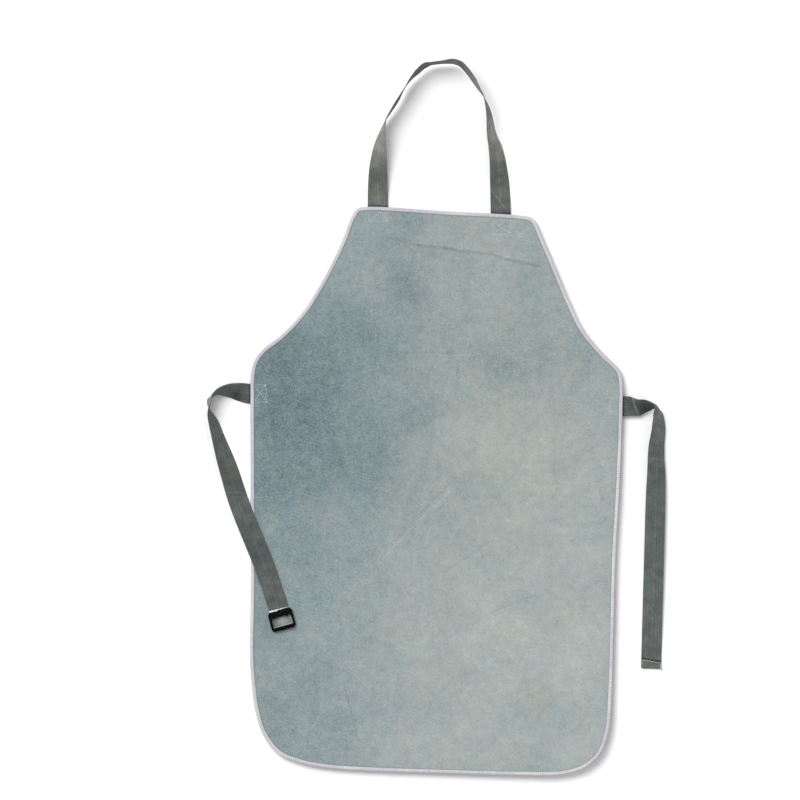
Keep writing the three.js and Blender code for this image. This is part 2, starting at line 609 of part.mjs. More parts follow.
// A webbing ribbon through its sections, lying on what is under it
function strapGeometry(rows) {
  const sections = strapSections(rows);
  const supports = supportHeights(sections);
  const points = [];
  sections.forEach((section, k) => {
    const heading = radians(section.heading);
    const roll = radians(section.roll);
    const rx = Math.sin(heading);
    const ry = -Math.cos(heading);
    const across = [Math.cos(roll) * rx, Math.cos(roll) * ry, Math.sin(roll)];
    const normal = [-Math.sin(roll) * rx, -Math.sin(roll) * ry, Math.cos(roll)];
    const ring = [];
    for (let i = 0; i <= ACROSS_STEPS; i += 1) {
      const share = i / ACROSS_STEPS - 0.5;
      const cup = section.curl * WEBBING_WIDTH * (0.5 - 4 * share * share);
      ring.push(across.map((a, axis) => a * share * WEBBING_WIDTH + normal[axis] * (cup + WEBBING / 2)));
    }
    for (let i = ACROSS_STEPS; i >= 0; i -= 1) {
      const [x, y, z] = ring[i];
      ring.push([x - normal[0] * WEBBING, y - normal[1] * WEBBING, z - normal[2] * WEBBING]);
    }
    const lowest = Math.min(...ring.map((point) => point[2]));
    const rest = supports[k] > 0 ? supports[k] + GAP : 0;
    const height = rest + section.lift - lowest;
    for (const [x, y, z] of ring) points.push([section.x + x, section.y + y, height + z]);
  });
  const around = 2 * (ACROSS_STEPS + 1);
  const triangles = [];
  for (let k = 0; k < sections.length - 1; k += 1) {
    for (let i = 0; i < around; i += 1) {
      const a = k * around + i;
      const b = k * around + ((i + 1) % around);
      triangles.push([a, b, b + around], [a, b + around, a + around]);
    }
  }
  const last = (sections.length - 1) * around;
  for (let i = 0; i < ACROSS_STEPS; i += 1) {
    const j = around - 1 - i;
    triangles.push([i, j, j - 1], [i, j - 1, i + 1]);
    triangles.push([last + i, last + j - 1, last + j], [last + i, last + i + 1, last + j - 1]);
  }
  return { geometry: meshFrom(points, triangles), end: sections[sections.length - 1] };
}

// Placed rows of each strap, with its sewn end first
function neckStrapRows() {
  const placed = neckRows.map((row) => {
    const x = lerp(neckLeft.x, neckRight.x, row.across);
    const y = lerp(neckLeft.y, neckRight.y, row.across) + row.up * NECK_RISE;
    return { ...row, x, y, lift: row.lift * NECK_LIFT };
  });
  const first = placed[0];
  const last = placed[placed.length - 1];
  first.lift = sewnLift(neckLeftEnd, 0);
  last.lift = sewnLift(neckRightEnd, 0);
  return [
    { ...first, y: neckLeft.y - SEWN_LENGTH, lift: sewnLift(neckLeftEnd, SEWN_LENGTH) },
    ...placed,
    { ...last, y: neckRight.y - SEWN_LENGTH, lift: sewnLift(neckRightEnd, SEWN_LENGTH) },
  ];
}

const tieEnd = { x: leftRoot.x + BUCKLE_INSET, y: leftRoot.y - LEFT_TIE_DROP };
const buckleAway = { x: -Math.cos(radians(BUCKLE_HEADING)), y: -Math.sin(radians(BUCKLE_HEADING)) };
function leftTiePlaced() {
  const placed = leftTieRows.map((row) => ({
    ...row,
    x: leftRoot.x + row.across * (row.across < 0 ? LEFT_TIE_REACH : BUCKLE_INSET),
    y: leftRoot.y - row.down * LEFT_TIE_DROP,
    lift: (row.lift ?? 0) * sewnLift(leftTieEnd, 0),
  }));
  const flat = { heading: BUCKLE_HEADING, roll: 0, curl: 0, over: 1 };
  const mouth = BUCKLE_WINDOW + BUCKLE_BAR;
  return [
    { ...placed[0], x: leftRoot.x + SEWN_LENGTH, lift: sewnLift(leftTieEnd, SEWN_LENGTH) },
    ...placed,
    { ...flat, x: tieEnd.x + buckleAway.x * mouth, y: tieEnd.y + buckleAway.y * mouth },
    { ...flat, ...tieEnd },
  ];
}

function rightTiePlaced() {
  const placed = rightTieRows.map((row) => ({
    ...row,
    x: rightRoot.x + row.across * RIGHT_TIE_REACH,
    y: rightRoot.y - row.down * RIGHT_TIE_DROP,
    lift: (row.lift ?? 0) * sewnLift(rightTieEnd, 0),
  }));
  const sewn = { x: rightRoot.x - SEWN_LENGTH, lift: sewnLift(rightTieEnd, SEWN_LENGTH) };
  return [{ ...placed[0], ...sewn }, ...placed];
}

// Joins and cuts
function solidOf(geometry, matrix = new THREE.Matrix4()) {
  const plain = geometry.clone().applyMatrix4(matrix);
  plain.deleteAttribute("normal");
  plain.deleteAttribute("uv");
  const merged = mergeVertices(plain, 1e-4);
  return new wasm.Manifold(
    new wasm.Mesh({
      numProp: 3,
      vertProperties: Float32Array.from(merged.attributes.position.array),
      triVerts: Uint32Array.from(merged.index.array),
    }),
  );
}
function geometryOf(solid) {
  const { vertProperties, triVerts } = solid.getMesh();
  const geometry = new THREE.BufferGeometry();
  geometry.setAttribute("position", new THREE.Float32BufferAttribute(vertProperties, 3));
  geometry.setIndex(new THREE.BufferAttribute(triVerts, 1));
  geometry.computeVertexNormals();
  return geometry;
}

// The right tie's end turns back over itself: a J-shaped side profile as wide as the webbing
function hemFold(end) {
  const rise = 2 * WEBBING + HEM_SLIT;
  const bulge = rise / 2;
  const profile = new THREE.Shape();
  profile.moveTo(-HEM_ROOT, 0);
  profile.lineTo(0, 0);
  profile.absarc(0, bulge, bulge, -Math.PI / 2, Math.PI / 2, false);
  profile.lineTo(-HEM_FOLD, rise);
  profile.lineTo(-HEM_FOLD, rise - WEBBING);
  profile.lineTo(0, rise - WEBBING);
  profile.absarc(0, bulge, HEM_SLIT / 2, Math.PI / 2, -Math.PI / 2, true);
  profile.lineTo(-HEM_ROOT, WEBBING);
  profile.closePath();
  const fold = new THREE.ExtrudeGeometry(profile, {
    depth: WEBBING_WIDTH,
    bevelEnabled: false,
    curveSegments: 5,
  });
  const heading = radians(end.heading);
  const along = new THREE.Vector3(Math.cos(heading), Math.sin(heading), 0);
  const up = new THREE.Vector3(0, 0, 1);
  const across = along.clone().cross(up);
  const place = new THREE.Matrix4().makeBasis(along, up, across);
  place.setPosition(
    end.x - (across.x * WEBBING_WIDTH) / 2 - along.x * CUT_MARGIN,
    end.y - (across.y * WEBBING_WIDTH) / 2 - along.y * CUT_MARGIN,
    0,
  );
  return solidOf(fold, place);
}

function roundedRectangle(shape, width, bottom, top, radius) {
  const half = width / 2;
  shape.moveTo(-half + radius, bottom);
  shape.lineTo(half - radius, bottom);
  shape.absarc(half - radius, bottom + radius, radius, -Math.PI / 2, 0, false);
  shape.lineTo(half, top - radius);
  shape.absarc(half - radius, top - radius, radius, 0, Math.PI / 2, false);
  shape.lineTo(-half + radius, top);
  shape.absarc(-half + radius, top - radius, radius, Math.PI / 2, Math.PI, false);
  shape.lineTo(-half, bottom + radius);
  shape.absarc(-half + radius, bottom + radius, radius, Math.PI, Math.PI * 1.5, false);
  return shape;
}

// The buckle's frame, its window's lower edge at y 0, the tie coming in from +y under the clamping bar
function buckleGeometry() {
  const windowWidth = WEBBING_WIDTH + 2 * CHANNEL_PLAY;
  const top = BUCKLE_WINDOW + BUCKLE_BAR;
  const outline = roundedRectangle(new THREE.Shape(), BUCKLE_WIDTH, -BUCKLE_FOOT, top, BUCKLE_RADIUS);
  const opening = new THREE.Path();
  const half = windowWidth / 2;
  opening.moveTo(-half + WINDOW_RADIUS, 0);
  opening.lineTo(half - WINDOW_RADIUS, 0);
  opening.absarc(half - WINDOW_RADIUS, WINDOW_RADIUS, WINDOW_RADIUS, -Math.PI / 2, 0, false);
  opening.lineTo(half, BUCKLE_WINDOW);
  // two notches near the right end of the clamping bar
  for (const middle of NOTCH_PLACES) {
    opening.lineTo(middle + NOTCH_WIDTH / 2, BUCKLE_WINDOW);
    opening.lineTo(middle, BUCKLE_WINDOW + NOTCH_DEPTH);
    opening.lineTo(middle - NOTCH_WIDTH / 2, BUCKLE_WINDOW);
  }
  opening.lineTo(-half, BUCKLE_WINDOW);
  opening.lineTo(-half, WINDOW_RADIUS);
  opening.absarc(-half + WINDOW_RADIUS, WINDOW_RADIUS, WINDOW_RADIUS, Math.PI, Math.PI * 1.5, false);
  outline.holes.push(opening);
  const frame = new THREE.ExtrudeGeometry(outline, {
    depth: BUCKLE_HEIGHT - 2 * BUCKLE_BEVEL,
    bevelThickness: BUCKLE_BEVEL,
    bevelSize: BUCKLE_BEVEL,
    bevelOffset: -BUCKLE_BEVEL,
    bevelSegments: 2,
    curveSegments: 5,
  });
  frame.translate(0, 0, BUCKLE_BEVEL);
  const channel = new THREE.BoxGeometry(windowWidth, top + BUCKLE_FOOT, WEBBING + 2 * GAP);
  channel.translate(0, (top + BUCKLE_FOOT) / 2 + CUT_MARGIN, (WEBBING + 2 * GAP) / 2);
  return geometryOf(solidOf(frame).subtract(solidOf(channel)));
}

// The toothed strip across the tie, in front of the clamping bar, its teeth towards the bar
function teethGeometry() {
  const width = TEETH_WIDTH;
  const strip = new THREE.Shape();
  strip.moveTo(width / 2, TEETH_DEPTH);
  strip.lineTo(-width / 2, TEETH_DEPTH);
  const pitch = width / TOOTH_COUNT;
  for (let i = 0; i < TOOTH_COUNT; i += 1) {
    strip.lineTo(-width / 2 + i * pitch, TOOTH_HEIGHT);
    strip.lineTo(-width / 2 + (i + 0.5) * pitch, 0);
  }
  strip.lineTo(width / 2, TOOTH_HEIGHT);
  strip.closePath();
  return new THREE.ExtrudeGeometry(strip, { depth: TEETH_THICKNESS, bevelEnabled: false });
}

function piece(name, geometry, color, roughness, metalness) {
  const mesh = new THREE.Mesh(geometry, new THREE.MeshStandardMaterial({ color, roughness, metalness }));
  mesh.name = name;
  return mesh;
}

const apron = new THREE.Group();
apron.add(piece("apron_panel", panelGeometry(), 0x96a5a5, 0.95, 0));
apron.add(piece("edge_binding", bindingGeometry(), 0xcdc8d4, 0.8, 0));

const webbingColor = 0x6c706c;
apron.add(piece("neck_strap", strapGeometry(neckStrapRows()).geometry, webbingColor, 0.9, 0));
const leftTie = strapGeometry(leftTiePlaced());
apron.add(piece("left_waist_tie", leftTie.geometry, webbingColor, 0.9, 0));
const rightTie = strapGeometry(rightTiePlaced());
const hemmedTie = geometryOf(solidOf(rightTie.geometry).add(hemFold(rightTie.end)));
apron.add(piece("right_waist_tie", hemmedTie, webbingColor, 0.9, 0));

// The buckle lies on the panel round the left tie's end
const buckle = new THREE.Group();
buckle.add(piece("buckle_frame", buckleGeometry(), 0x0a0b0d, 0.35, 0));
const teeth = piece("buckle_teeth", teethGeometry(), 0xc8c8c4, 0.3, 1);
teeth.position.set(0, BUCKLE_WINDOW + BUCKLE_BAR + GAP, WEBBING + GAP);
buckle.add(teeth);
buckle.position.set(tieEnd.x - buckleAway.x * GAP, tieEnd.y - buckleAway.y * GAP, 0);
buckle.rotation.z = radians(BUCKLE_HEADING - 270);
buckle.updateMatrix();
const buckleCorners = [-BUCKLE_WIDTH / 2, BUCKLE_WIDTH / 2].flatMap((x) => [
  new THREE.Vector3(x, -BUCKLE_FOOT, 0).applyMatrix4(buckle.matrix),
  new THREE.Vector3(x, BUCKLE_WINDOW + BUCKLE_BAR, 0).applyMatrix4(buckle.matrix),
]);
buckle.position.z = Math.max(...buckleCorners.map(({ x, y }) => topAt(x, y))) + GAP;
apron.add(buckle);

// The origin is on the surface, under the middle of the whole apron
apron.updateMatrixWorld(true);
const box = new THREE.Box3().setFromObject(apron);
apron.position.set(-(box.min.x + box.max.x) / 2, -(box.min.y + box.max.y) / 2, -box.min.z);

export default apron;
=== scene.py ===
# A leather welding apron laid flat, front up: a suede panel with a stitched edge, a webbing neck loop,
# and two webbing waist ties, the left one ending in a toothed buckle.
import math
import random

import bpy
import numpy as np
from mathutils import Matrix, Vector, noise
from mathutils.kdtree import KDTree


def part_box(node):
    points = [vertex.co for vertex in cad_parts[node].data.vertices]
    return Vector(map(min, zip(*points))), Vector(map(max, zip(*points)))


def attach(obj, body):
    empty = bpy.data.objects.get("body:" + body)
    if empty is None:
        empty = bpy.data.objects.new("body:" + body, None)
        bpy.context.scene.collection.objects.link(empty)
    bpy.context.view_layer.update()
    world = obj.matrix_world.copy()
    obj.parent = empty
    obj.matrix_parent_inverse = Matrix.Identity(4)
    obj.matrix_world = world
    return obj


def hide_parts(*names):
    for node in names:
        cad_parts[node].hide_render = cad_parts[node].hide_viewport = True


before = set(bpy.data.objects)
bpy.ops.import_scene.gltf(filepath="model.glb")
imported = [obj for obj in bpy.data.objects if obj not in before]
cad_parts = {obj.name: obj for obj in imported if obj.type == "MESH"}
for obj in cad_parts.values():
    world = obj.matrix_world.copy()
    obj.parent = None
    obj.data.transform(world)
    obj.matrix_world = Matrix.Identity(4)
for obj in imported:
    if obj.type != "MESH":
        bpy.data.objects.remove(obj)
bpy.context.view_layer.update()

mm = 0.001
print("frame loaded:", len(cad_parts), "nodes")


# Shader maths
class Shade:
    # a socket that can stand in sums: each operator adds a Math node
    def __init__(self, finish, socket):
        self.finish = finish
        self.socket = socket

    def math(self, operation, first, second=0.0):
        return self.finish.add("ShaderNodeMath", {"operation": operation}, {0: first, 1: second})

    def __add__(self, other):
        return self.math("ADD", self, other)

    __radd__ = __add__

    def __sub__(self, other):
        return self.math("SUBTRACT", self, other)

    def __rsub__(self, other):
        return self.math("SUBTRACT", other, self)

    def __mul__(self, other):
        return self.math("MULTIPLY", self, other)

    __rmul__ = __mul__

    def wave(self):
        return self.math("SINE", self)

    def size(self):
        return self.math("ABSOLUTE", self)

    def steps(self):
        return self.math("FRACT", self)

    def smooth(self, low, high, lowTo=0.0, highTo=1.0):
        inputs = {"Value": self, "From Min": low, "From Max": high, "To Min": lowTo, "To Max": highTo}
        return self.finish.add("ShaderNodeMapRange", {"interpolation_type": "SMOOTHSTEP"}, inputs)


class Finish:
    # one procedural material; uniform numbers are set on the shader's own sockets
    def __init__(self, name, **uniform):
        self.material = bpy.data.materials.new(name)
        self.material.use_nodes = True
        self.tree = self.material.node_tree
        self.shader = self.tree.nodes["Principled BSDF"]
        for socket, value in uniform.items():
            self.shader.inputs[socket.replace("_", " ")].default_value = value

    def add(self, kind, settings=None, inputs=None, output=0):
        node = self.tree.nodes.new(kind)
        for key, value in (settings or {}).items():
            if key == "stops":
                ramp = node.color_ramp
                while len(ramp.elements) < len(value):
                    ramp.elements.new(0.5)
                for element, (place, color) in zip(ramp.elements, value):
                    element.position = place
                    element.color = color
            else:
                setattr(node, key, value)
        for key, value in (inputs or {}).items():
            if isinstance(value, Shade):
                self.tree.links.new(value.socket, node.inputs[key])
            else:
                node.inputs[key].default_value = value
        return Shade(self, node.outputs[output])

    def place(self):
        return self.add("ShaderNodeTexCoord", output="Object")

    def uv(self):
        return self.add("ShaderNodeUVMap", {"uv_map": "strip"})

    def split(self, vector):
        return [self.add("ShaderNodeSeparateXYZ", inputs={0: vector}, output=k) for k in range(3)]

    def attribute(self, name):
        return self.add("ShaderNodeAttribute", {"attribute_name": name}, output="Fac")

    def stretched(self, vector, scale):
        return self.add("ShaderNodeMapping", inputs={"Vector": vector, "Scale": scale})

    def most(self, first, second):
        return first.math("MAXIMUM", first, second)

    def vector(self, operation, first, second, output=0):
        inputs = {0: first, "Scale" if operation == "SCALE" else 1: second}
        return self.add("ShaderNodeVectorMath", {"operation": operation}, inputs, output)

    def turned(self, vector, degrees):
        turn = (0, 0, math.radians(degrees))
        return self.add("ShaderNodeMapping", inputs={"Vector": vector, "Rotation": turn})

    def noise(self, vector, scale, detail=3.0, rough=0.55, colour=False):
        inputs = {"Vector": vector, "Scale": scale, "Detail": detail, "Roughness": rough}
        return self.add("ShaderNodeTexNoise", inputs=inputs, output="Color" if colour else "Fac")

    def ramp(self, value, stops):
        return self.add("ShaderNodeValToRGB", {"stops": stops}, {"Fac": value})

    def mix(self, share, first, second, blend="MIX"):
        settings = {"data_type": "RGBA", "blend_type": blend}
        return self.add("ShaderNodeMix", settings, {0: share, 6: first, 7: second}, output=2)

    def bump(self, height, distance, strength=0.8):
        inputs = {"Height": height, "Distance": distance, "Strength": strength}
        return self.add("ShaderNodeBump", inputs=inputs)

    def finish(self, color=None, roughness=None, normal=None):
        for name, value in (("Base Color", color), ("Roughness", roughness), ("Normal", normal)):
            if value is not None:
                self.tree.links.new(value.socket, self.shader.inputs[name])
        return self.material


def paint(red, green, blue):
    # a colour given as on a screen, 0 to 255
    def linear(part):
        share = part / 255
        return share / 12.92 if share <= 0.04045 else ((share + 0.055) / 1.055) ** 2.4
    return (linear(red), linear(green), linear(blue), 1.0)


# The apron's form, in millimetres from the middle of the hem, the same as the solids'
apron = {
    "bodyWidth": 595, "bodyLength": 910, "shoulderHeight": 654, "bibWidth": 290, "bibShift": 14,
    "leather": 1.5, "rimLift": 16, "liftReach": 95, "seatReach": 25, "levelStrip": 8.0,
    "foldHeight": 1.6, "foldReach": 20, "strapRise": 1.8, "strapPlateau": 16, "strapFade": 24,
    "rimRise": 1.1, "tuck": 1.1,
}

# rows of the rim, anticlockwise. Skirt: across is a share of half the width, up of the shoulder height.
# Armhole: shares of the way from the shoulder to the bib's corner. Bib: shares of its half and whole width.
# The last number is the rim's lift, a share of the most.
rightSkirt = [
    (0.879, 0.053, 1.0), (0.925, 0.111, 1.0), (0.942, 0.209, 0.85), (0.952, 0.356, 0.75), (0.963, 0.539, 0.7),
    (0.983, 0.696, 0.7), (0.998, 0.87, 0.5), (0.999, 0.965, 0.45), (0.985, 0.99, 0.45),
]
rightArmhole = [
    (0.103, 0.02, 0.45), (0.226, 0.083, 0.45), (0.46, 0.238, 0.45), (0.616, 0.411, 0.45), (0.758, 0.595, 0.4),
    (0.94, 0.827, 0.35),
]
bibTop = [
    (0.998, 0.083, 0.25), (0.935, 0.058, 0.2), (0.819, 0.048, 0.15), (0.027, 0.025, 0.1), (-0.88, 0.001, 0.1),
    (-0.975, 0.012, 0.1),
]
leftArmhole = [
    (0.966, 0.933, 0.1), (0.869, 0.773, 0.1), (0.706, 0.557, 0.1), (0.505, 0.348, 0.1), (0.297, 0.201, 0.1),
    (0.11, 0.105, 0.1),
]
leftSkirt = [
    (-0.98, 1.015, 0.1), (-0.998, 0.985, 0.1), (-1.002, 0.919, 0.05), (-1.001, 0.723, 0), (-1.001, 0.429, 0),
    (-1.006, 0.307, 0), (-0.996, 0.229, 0.1), (-0.975, 0.158, 0.25), (-0.933, 0.1, 0.4), (-0.85, 0.053, 0.5),
]
hem = [
    (-0.726, 0.03, 0.55), (-0.575, 0.018, 0.55), (-0.328, 0.011, 0.6), (0.016, 0.006, 0.65),
    (0.446, 0.001, 0.75), (0.662, 0.002, 0.85), (0.791, 0.018, 0.95),
]


def mixed(first, second, share):
    return first + (second - first) * share


def smoothStep(share):
    held = np.clip(share, 0, 1)
    return held * held * (3 - 2 * held)


def fade(share):
    return 1 - smoothStep(share)


def runAlong(points):
    # how far along a bent line each of its points lies
    return np.concatenate([[0], np.cumsum(np.linalg.norm(np.diff(points, axis=0), axis=1))])


def patches(x, y, rows):
    # the sum of soft round patches, from rows of across, up, radius and amount
    total = np.zeros(len(x))
    for middleX, middleY, radius, amount in rows:
        total = total + amount * np.exp(-((x - middleX) ** 2 + (y - middleY) ** 2) / radius**2)
    return total


def rimRows():
    a = apron
    points = []

    def skirt(across, up):
        return across * a["bodyWidth"] / 2, up * a["shoulderHeight"]

    def armhole(side):
        def place(across, up):
            x = mixed(side * a["bodyWidth"] / 2, a["bibShift"] + side * a["bibWidth"] / 2, across)
            return x, mixed(a["shoulderHeight"], a["bodyLength"], up)
        return place

    def bib(across, drop):
        return a["bibShift"] + across * a["bibWidth"] / 2, a["bodyLength"] - drop * a["bibWidth"]

    groups = [(rightSkirt, skirt), (rightArmhole, armhole(1)), (bibTop, bib),
              (leftArmhole, armhole(-1)), (leftSkirt, skirt), (hem, skirt)]
    for rows, place in groups:
        for across, up, lift in rows:
            points.append((*place(across, up), lift * a["rimLift"]))
    return np.array(points, float)


def closedCurve(points, steps):
    # a smooth closed curve through the points, tight where they lie close
    t = np.linspace(0, 1, steps, endpoint=False)[:, None]
    spans = []
    for i in range(len(points)):
        p0, p1, p2, p3 = (points[(i + k - 1) % len(points)] for k in range(4))
        d0, d1, d2 = (math.sqrt(np.linalg.norm(b - a)) for a, b in ((p0, p1), (p1, p2), (p2, p3)))
        m1 = ((p1 - p0) / d0 - (p2 - p0) / (d0 + d1) + (p2 - p1) / d1) * d1
        m2 = ((p2 - p1) / d1 - (p3 - p1) / (d1 + d2) + (p3 - p2) / d2) * d1
        spans.append(p1 + m1 * t + (3 * (p2 - p1) - 2 * m1 - m2) * t**2 + (m1 + m2 - 2 * (p2 - p1)) * t**3)
    return np.concatenate(spans)


class Rim:
    # the closed rim by the share of its length, with its outward normal, and the nearest place on it
    def __init__(self, points, corners, steps=40):
        fine = closedCurve(points, steps)
        loop = np.vstack([fine, fine[:1]])
        self.at = runAlong(loop[:, :2])
        self.length = self.at[-1]
        self.loop = loop
        self.corners = [self.at[index * steps] / self.length for index in corners]
        count = int(self.length)
        self.samples, self.normals = self.take(np.arange(count) / count)
        self.tree = KDTree(count)
        for i, (x, y, _) in enumerate(self.samples):
            self.tree.insert((x, y, 0), i)
        self.tree.balance()

    def take(self, shares):
        s = (np.asarray(shares) % 1) * self.length
        points = np.stack([np.interp(s, self.at, self.loop[:, k]) for k in range(3)], axis=1)
        ahead, behind = ((s + 1.5) % self.length, (s - 1.5) % self.length)
        turn = [np.interp(ahead, self.at, values) - np.interp(behind, self.at, values)
                for values in self.loop[:, :2].T]
        size = np.hypot(*turn)
        normals = np.stack([turn[1] / size, -turn[0] / size], axis=1)
        points[:, 2] = np.maximum(points[:, 2], 0)
        return points, normals

    def nearest(self, x, y):
        found = [self.tree.find((a, b, 0)) for a, b in zip(x, y)]
        index = np.array([f[1] for f in found])
        p, n = self.samples[index], self.normals[index]
        inward = (p[:, 0] - x) * n[:, 0] + (p[:, 1] - y) * n[:, 1]
        distance = np.array([f[2] for f in found]) * np.where(inward < 0, -1, 1)
        return distance, p[:, 2]


cornerRows = [0, 16, 20, 36]  # the rows between hem, right side, bib top and left side
rim = Rim(rimRows(), cornerRows)

webbing = {
    "width": 32, "thickness": 1.5, "sewn": 26, "bridge": 22,
    "neckSpacing": 196.5, "neckShift": 4, "neckRise": 236, "neckLift": 9,
    "leftBelow": 43, "leftReach": 66, "leftDrop": 372, "buckleInset": 53,
    "rightBelow": 63, "rightReach": 58, "rightDrop": 418,
}


def rimTop(x):
    upper = rim.samples[rim.samples[:, 1] > apron["shoulderHeight"]]
    near = upper[np.abs(upper[:, 0] - x) < 1.5]
    return near[:, 1].max()


def rimSide(side, y):
    near = rim.samples[(np.abs(rim.samples[:, 1] - y) < 1.5) & (rim.samples[:, 0] * side > 0)]
    return near[:, 0].mean()


neckX = [webbing["neckShift"] + side * webbing["neckSpacing"] / 2 for side in (-1, 1)]
tieY = [apron["shoulderHeight"] - webbing[key] for key in ("leftBelow", "rightBelow")]
neckLeft, neckRight = ((x, rimTop(x)) for x in neckX)
leftRoot, rightRoot = ((rimSide(side, y), y) for side, y in zip((-1, 1), tieY))
sewnEnds = {  # root and the way that the end runs in behind the leather
    "neckLeft": (neckLeft, (0, -1)), "neckRight": (neckRight, (0, -1)),
    "left": (leftRoot, (1, 0)), "right": (rightRoot, (-1, 0)),
}

foldRows = [(-0.72, 0.18), (-0.3, 0.21), (0.2, 0.265), (0.93, 0.335)]  # across and drop, as on the bib
foldLine = [(apron["bibShift"] + a * apron["bibWidth"] / 2, apron["bodyLength"] - d * apron["bibWidth"])
            for a, d in foldRows]


def beyondSewnEnd(x, y):
    best = np.full(x.shape, 1e9)
    for (rootX, rootY), (dx, dy) in sewnEnds.values():
        along = (x - rootX) * dx + (y - rootY) * dy
        aside = np.abs((x - rootX) * dy - (y - rootY) * dx)
        past = np.maximum(np.maximum(along - webbing["sewn"], -along), 0)
        best = np.minimum(best, np.hypot(past, np.maximum(aside - webbing["width"] / 2, 0)))
    return best


def lineDistance(x, y, points):
    best = np.full(x.shape, 1e9)
    for (ax, ay), (bx, by) in zip(points, points[1:]):
        dx, dy = bx - ax, by - ay
        share = np.clip(((x - ax) * dx + (y - ay) * dy) / (dx * dx + dy * dy), 0, 1)
        best = np.minimum(best, np.hypot(x - ax - dx * share, y - ay - dy * share))
    return best


def raised(x, y):
    # the leather's rise over the sewn strap ends and along the packing fold
    a = apron
    bump = a["strapRise"] * fade((beyondSewnEnd(x, y) - a["strapPlateau"]) / a["strapFade"])
    return bump + a["foldHeight"] * fade(lineDistance(x, y, foldLine) / a["foldReach"])


def underside(x, y):
    # height of the leather's underside, and the distance in from the rim
    a = apron
    x, y = np.asarray(x, float), np.asarray(y, float)
    distance, lift = rim.nearest(x, y)
    inward = np.maximum(distance - a["levelStrip"], 0)
    seat = a["rimRise"] * fade(inward / a["seatReach"])
    curl = lift * fade(inward / a["liftReach"])
    return seat + curl + raised(x, y), distance


shift = Vector(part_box("edge_binding")[0]) / mm
shift = np.array([shift.x - rim.samples[:, 0].min(), shift.y - rim.samples[:, 1].min(), 0])


def placed(points):
    # from the apron's own millimetres to the frame
    return (np.asarray(points, float) + shift) * mm


def meshPiece(name, points, faces, slotName, *nodes, uv=None, attributes=None):
    mesh = bpy.data.meshes.new(name)
    mesh.from_pydata(placed(points).tolist(), [], [list(face) for face in faces])
    if uv is not None:
        layer = mesh.uv_layers.new(name="strip")
        corner = np.empty(len(mesh.loops), int)
        mesh.loops.foreach_get("vertex_index", corner)
        layer.data.foreach_set("uv", np.asarray(uv, float)[corner].ravel())
    for key, values in (attributes or {}).items():
        mesh.attributes.new(key, "FLOAT", "POINT").data.foreach_set("value", values)
    mesh.shade_smooth()
    piece = bpy.data.objects.new(name, mesh)
    bpy.context.collection.objects.link(piece)
    dress(piece, slotName, *nodes)
    return piece


def dress(piece, slotName, *nodes):
    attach(piece, "root")
    if nodes:
        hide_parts(*nodes)


def pick(piece):
    # makes a piece the only one selected
    bpy.ops.object.select_all(action="DESELECT")
    piece.select_set(True)
    bpy.context.view_layer.objects.active = piece


def bake():
    # an object's place, turn and size go into its mesh
    bpy.ops.object.transform_apply(location=True, rotation=True, scale=True)


def primitive(add, **settings):
    bpy.ops.object.select_all(action="DESELECT")
    add(**settings)
    bake()
    return bpy.context.object


def applyModifier(piece, kind, **settings):
    modifier = piece.modifiers.new(kind.lower(), kind)
    for key, value in settings.items():
        setattr(modifier, key, value)
    pick(piece)
    bpy.ops.object.modifier_apply(modifier=modifier.name)


# Suede
suede = {
    "columns": 132, "rows": 210, "wander": 8,
    "darkest": paint(60, 78, 84), "dark": paint(104, 122, 126), "light": paint(163, 170, 166),
    "palest": paint(196, 204, 200),
    "blue": (0.945, 1.0, 1.04, 1), "warm": (1.035, 1.0, 0.965, 1), "green": (0.975, 1.02, 0.985, 1),
    "bluer": (0.985, 1.003, 1.02, 1), "warmer": (1.015, 1.0, 0.975, 1),
}

# tone patches: across and up from the hem in mm, radius, how much paler (darker below 0)
tonePatches = [
    (-60, 780, 45, -0.16), (-42, 876, 30, -0.2), (-100, 690, 60, -0.1), (-165, 660, 70, -0.16),
    (-210, 545, 90, -0.2), (-250, 620, 60, -0.1), (-110, 530, 60, -0.1), (120, 650, 40, -0.2),
    (150, 700, 60, -0.06), (-60, 640, 50, 0.05), (50, 545, 70, 0.07), (170, 480, 80, 0.06),
    (-100, 480, 50, -0.1), (-215, 430, 60, -0.04), (-160, 350, 60, -0.08), (60, 430, 60, -0.07),
    (240, 300, 50, -0.05), (60, 250, 90, 0.05), (120, 210, 80, 0.04), (-130, 300, 50, 0.05),
    (-205, 75, 60, -0.14), (-190, 200, 60, -0.04), (215, 100, 60, -0.05), (-70, 850, 60, 0.04),
    (200, 620, 40, -0.04), (-260, 250, 50, -0.03), (-40, 590, 36, -0.2), (-42, 785, 28, -0.16),
    (-150, 640, 30, 0.15), (125, 530, 75, 0.11), (235, 690, 30, -0.12), (80, 875, 50, 0.1),
    (140, 22, 90, -0.14), (-265, 470, 45, -0.12), (-95, 835, 30, -0.1),
]


def leatherTone(x, y):
    # 0 is the dark upper left, 1 the pale lower right
    wobble = np.array([noise.noise_vector((a / 70, b / 70, 3.0))[:2] for a, b in zip(x, y)])
    x = x + wobble[:, 0] * 34
    y = y + wobble[:, 1] * 34
    across = smoothStep((x + 300) / 420)
    down = smoothStep((700 - y) / 520)
    bib = smoothStep((y - 700) / 120) * (1 - across)
    return 0.19 + 0.4 * across + 0.205 * down + 0.3 * bib + patches(x, y, tonePatches)


def leatherWarmth(x, y):
    # bluer down the left, warmer right of the middle
    return patches(x, y, [(110, 520, 130, 1.0)]) - smoothStep(-x / 170)


def leatherRelief(x, y, distance):
    waves = np.array([noise.noise((a / 95, b / 120, 7.0)) + 0.45 * noise.noise((a / 38, b / 38, 9.0))
                      for a, b in zip(x, y)])
    return 0.55 * (0.5 + waves) * smoothStep((distance - 12) / 60)


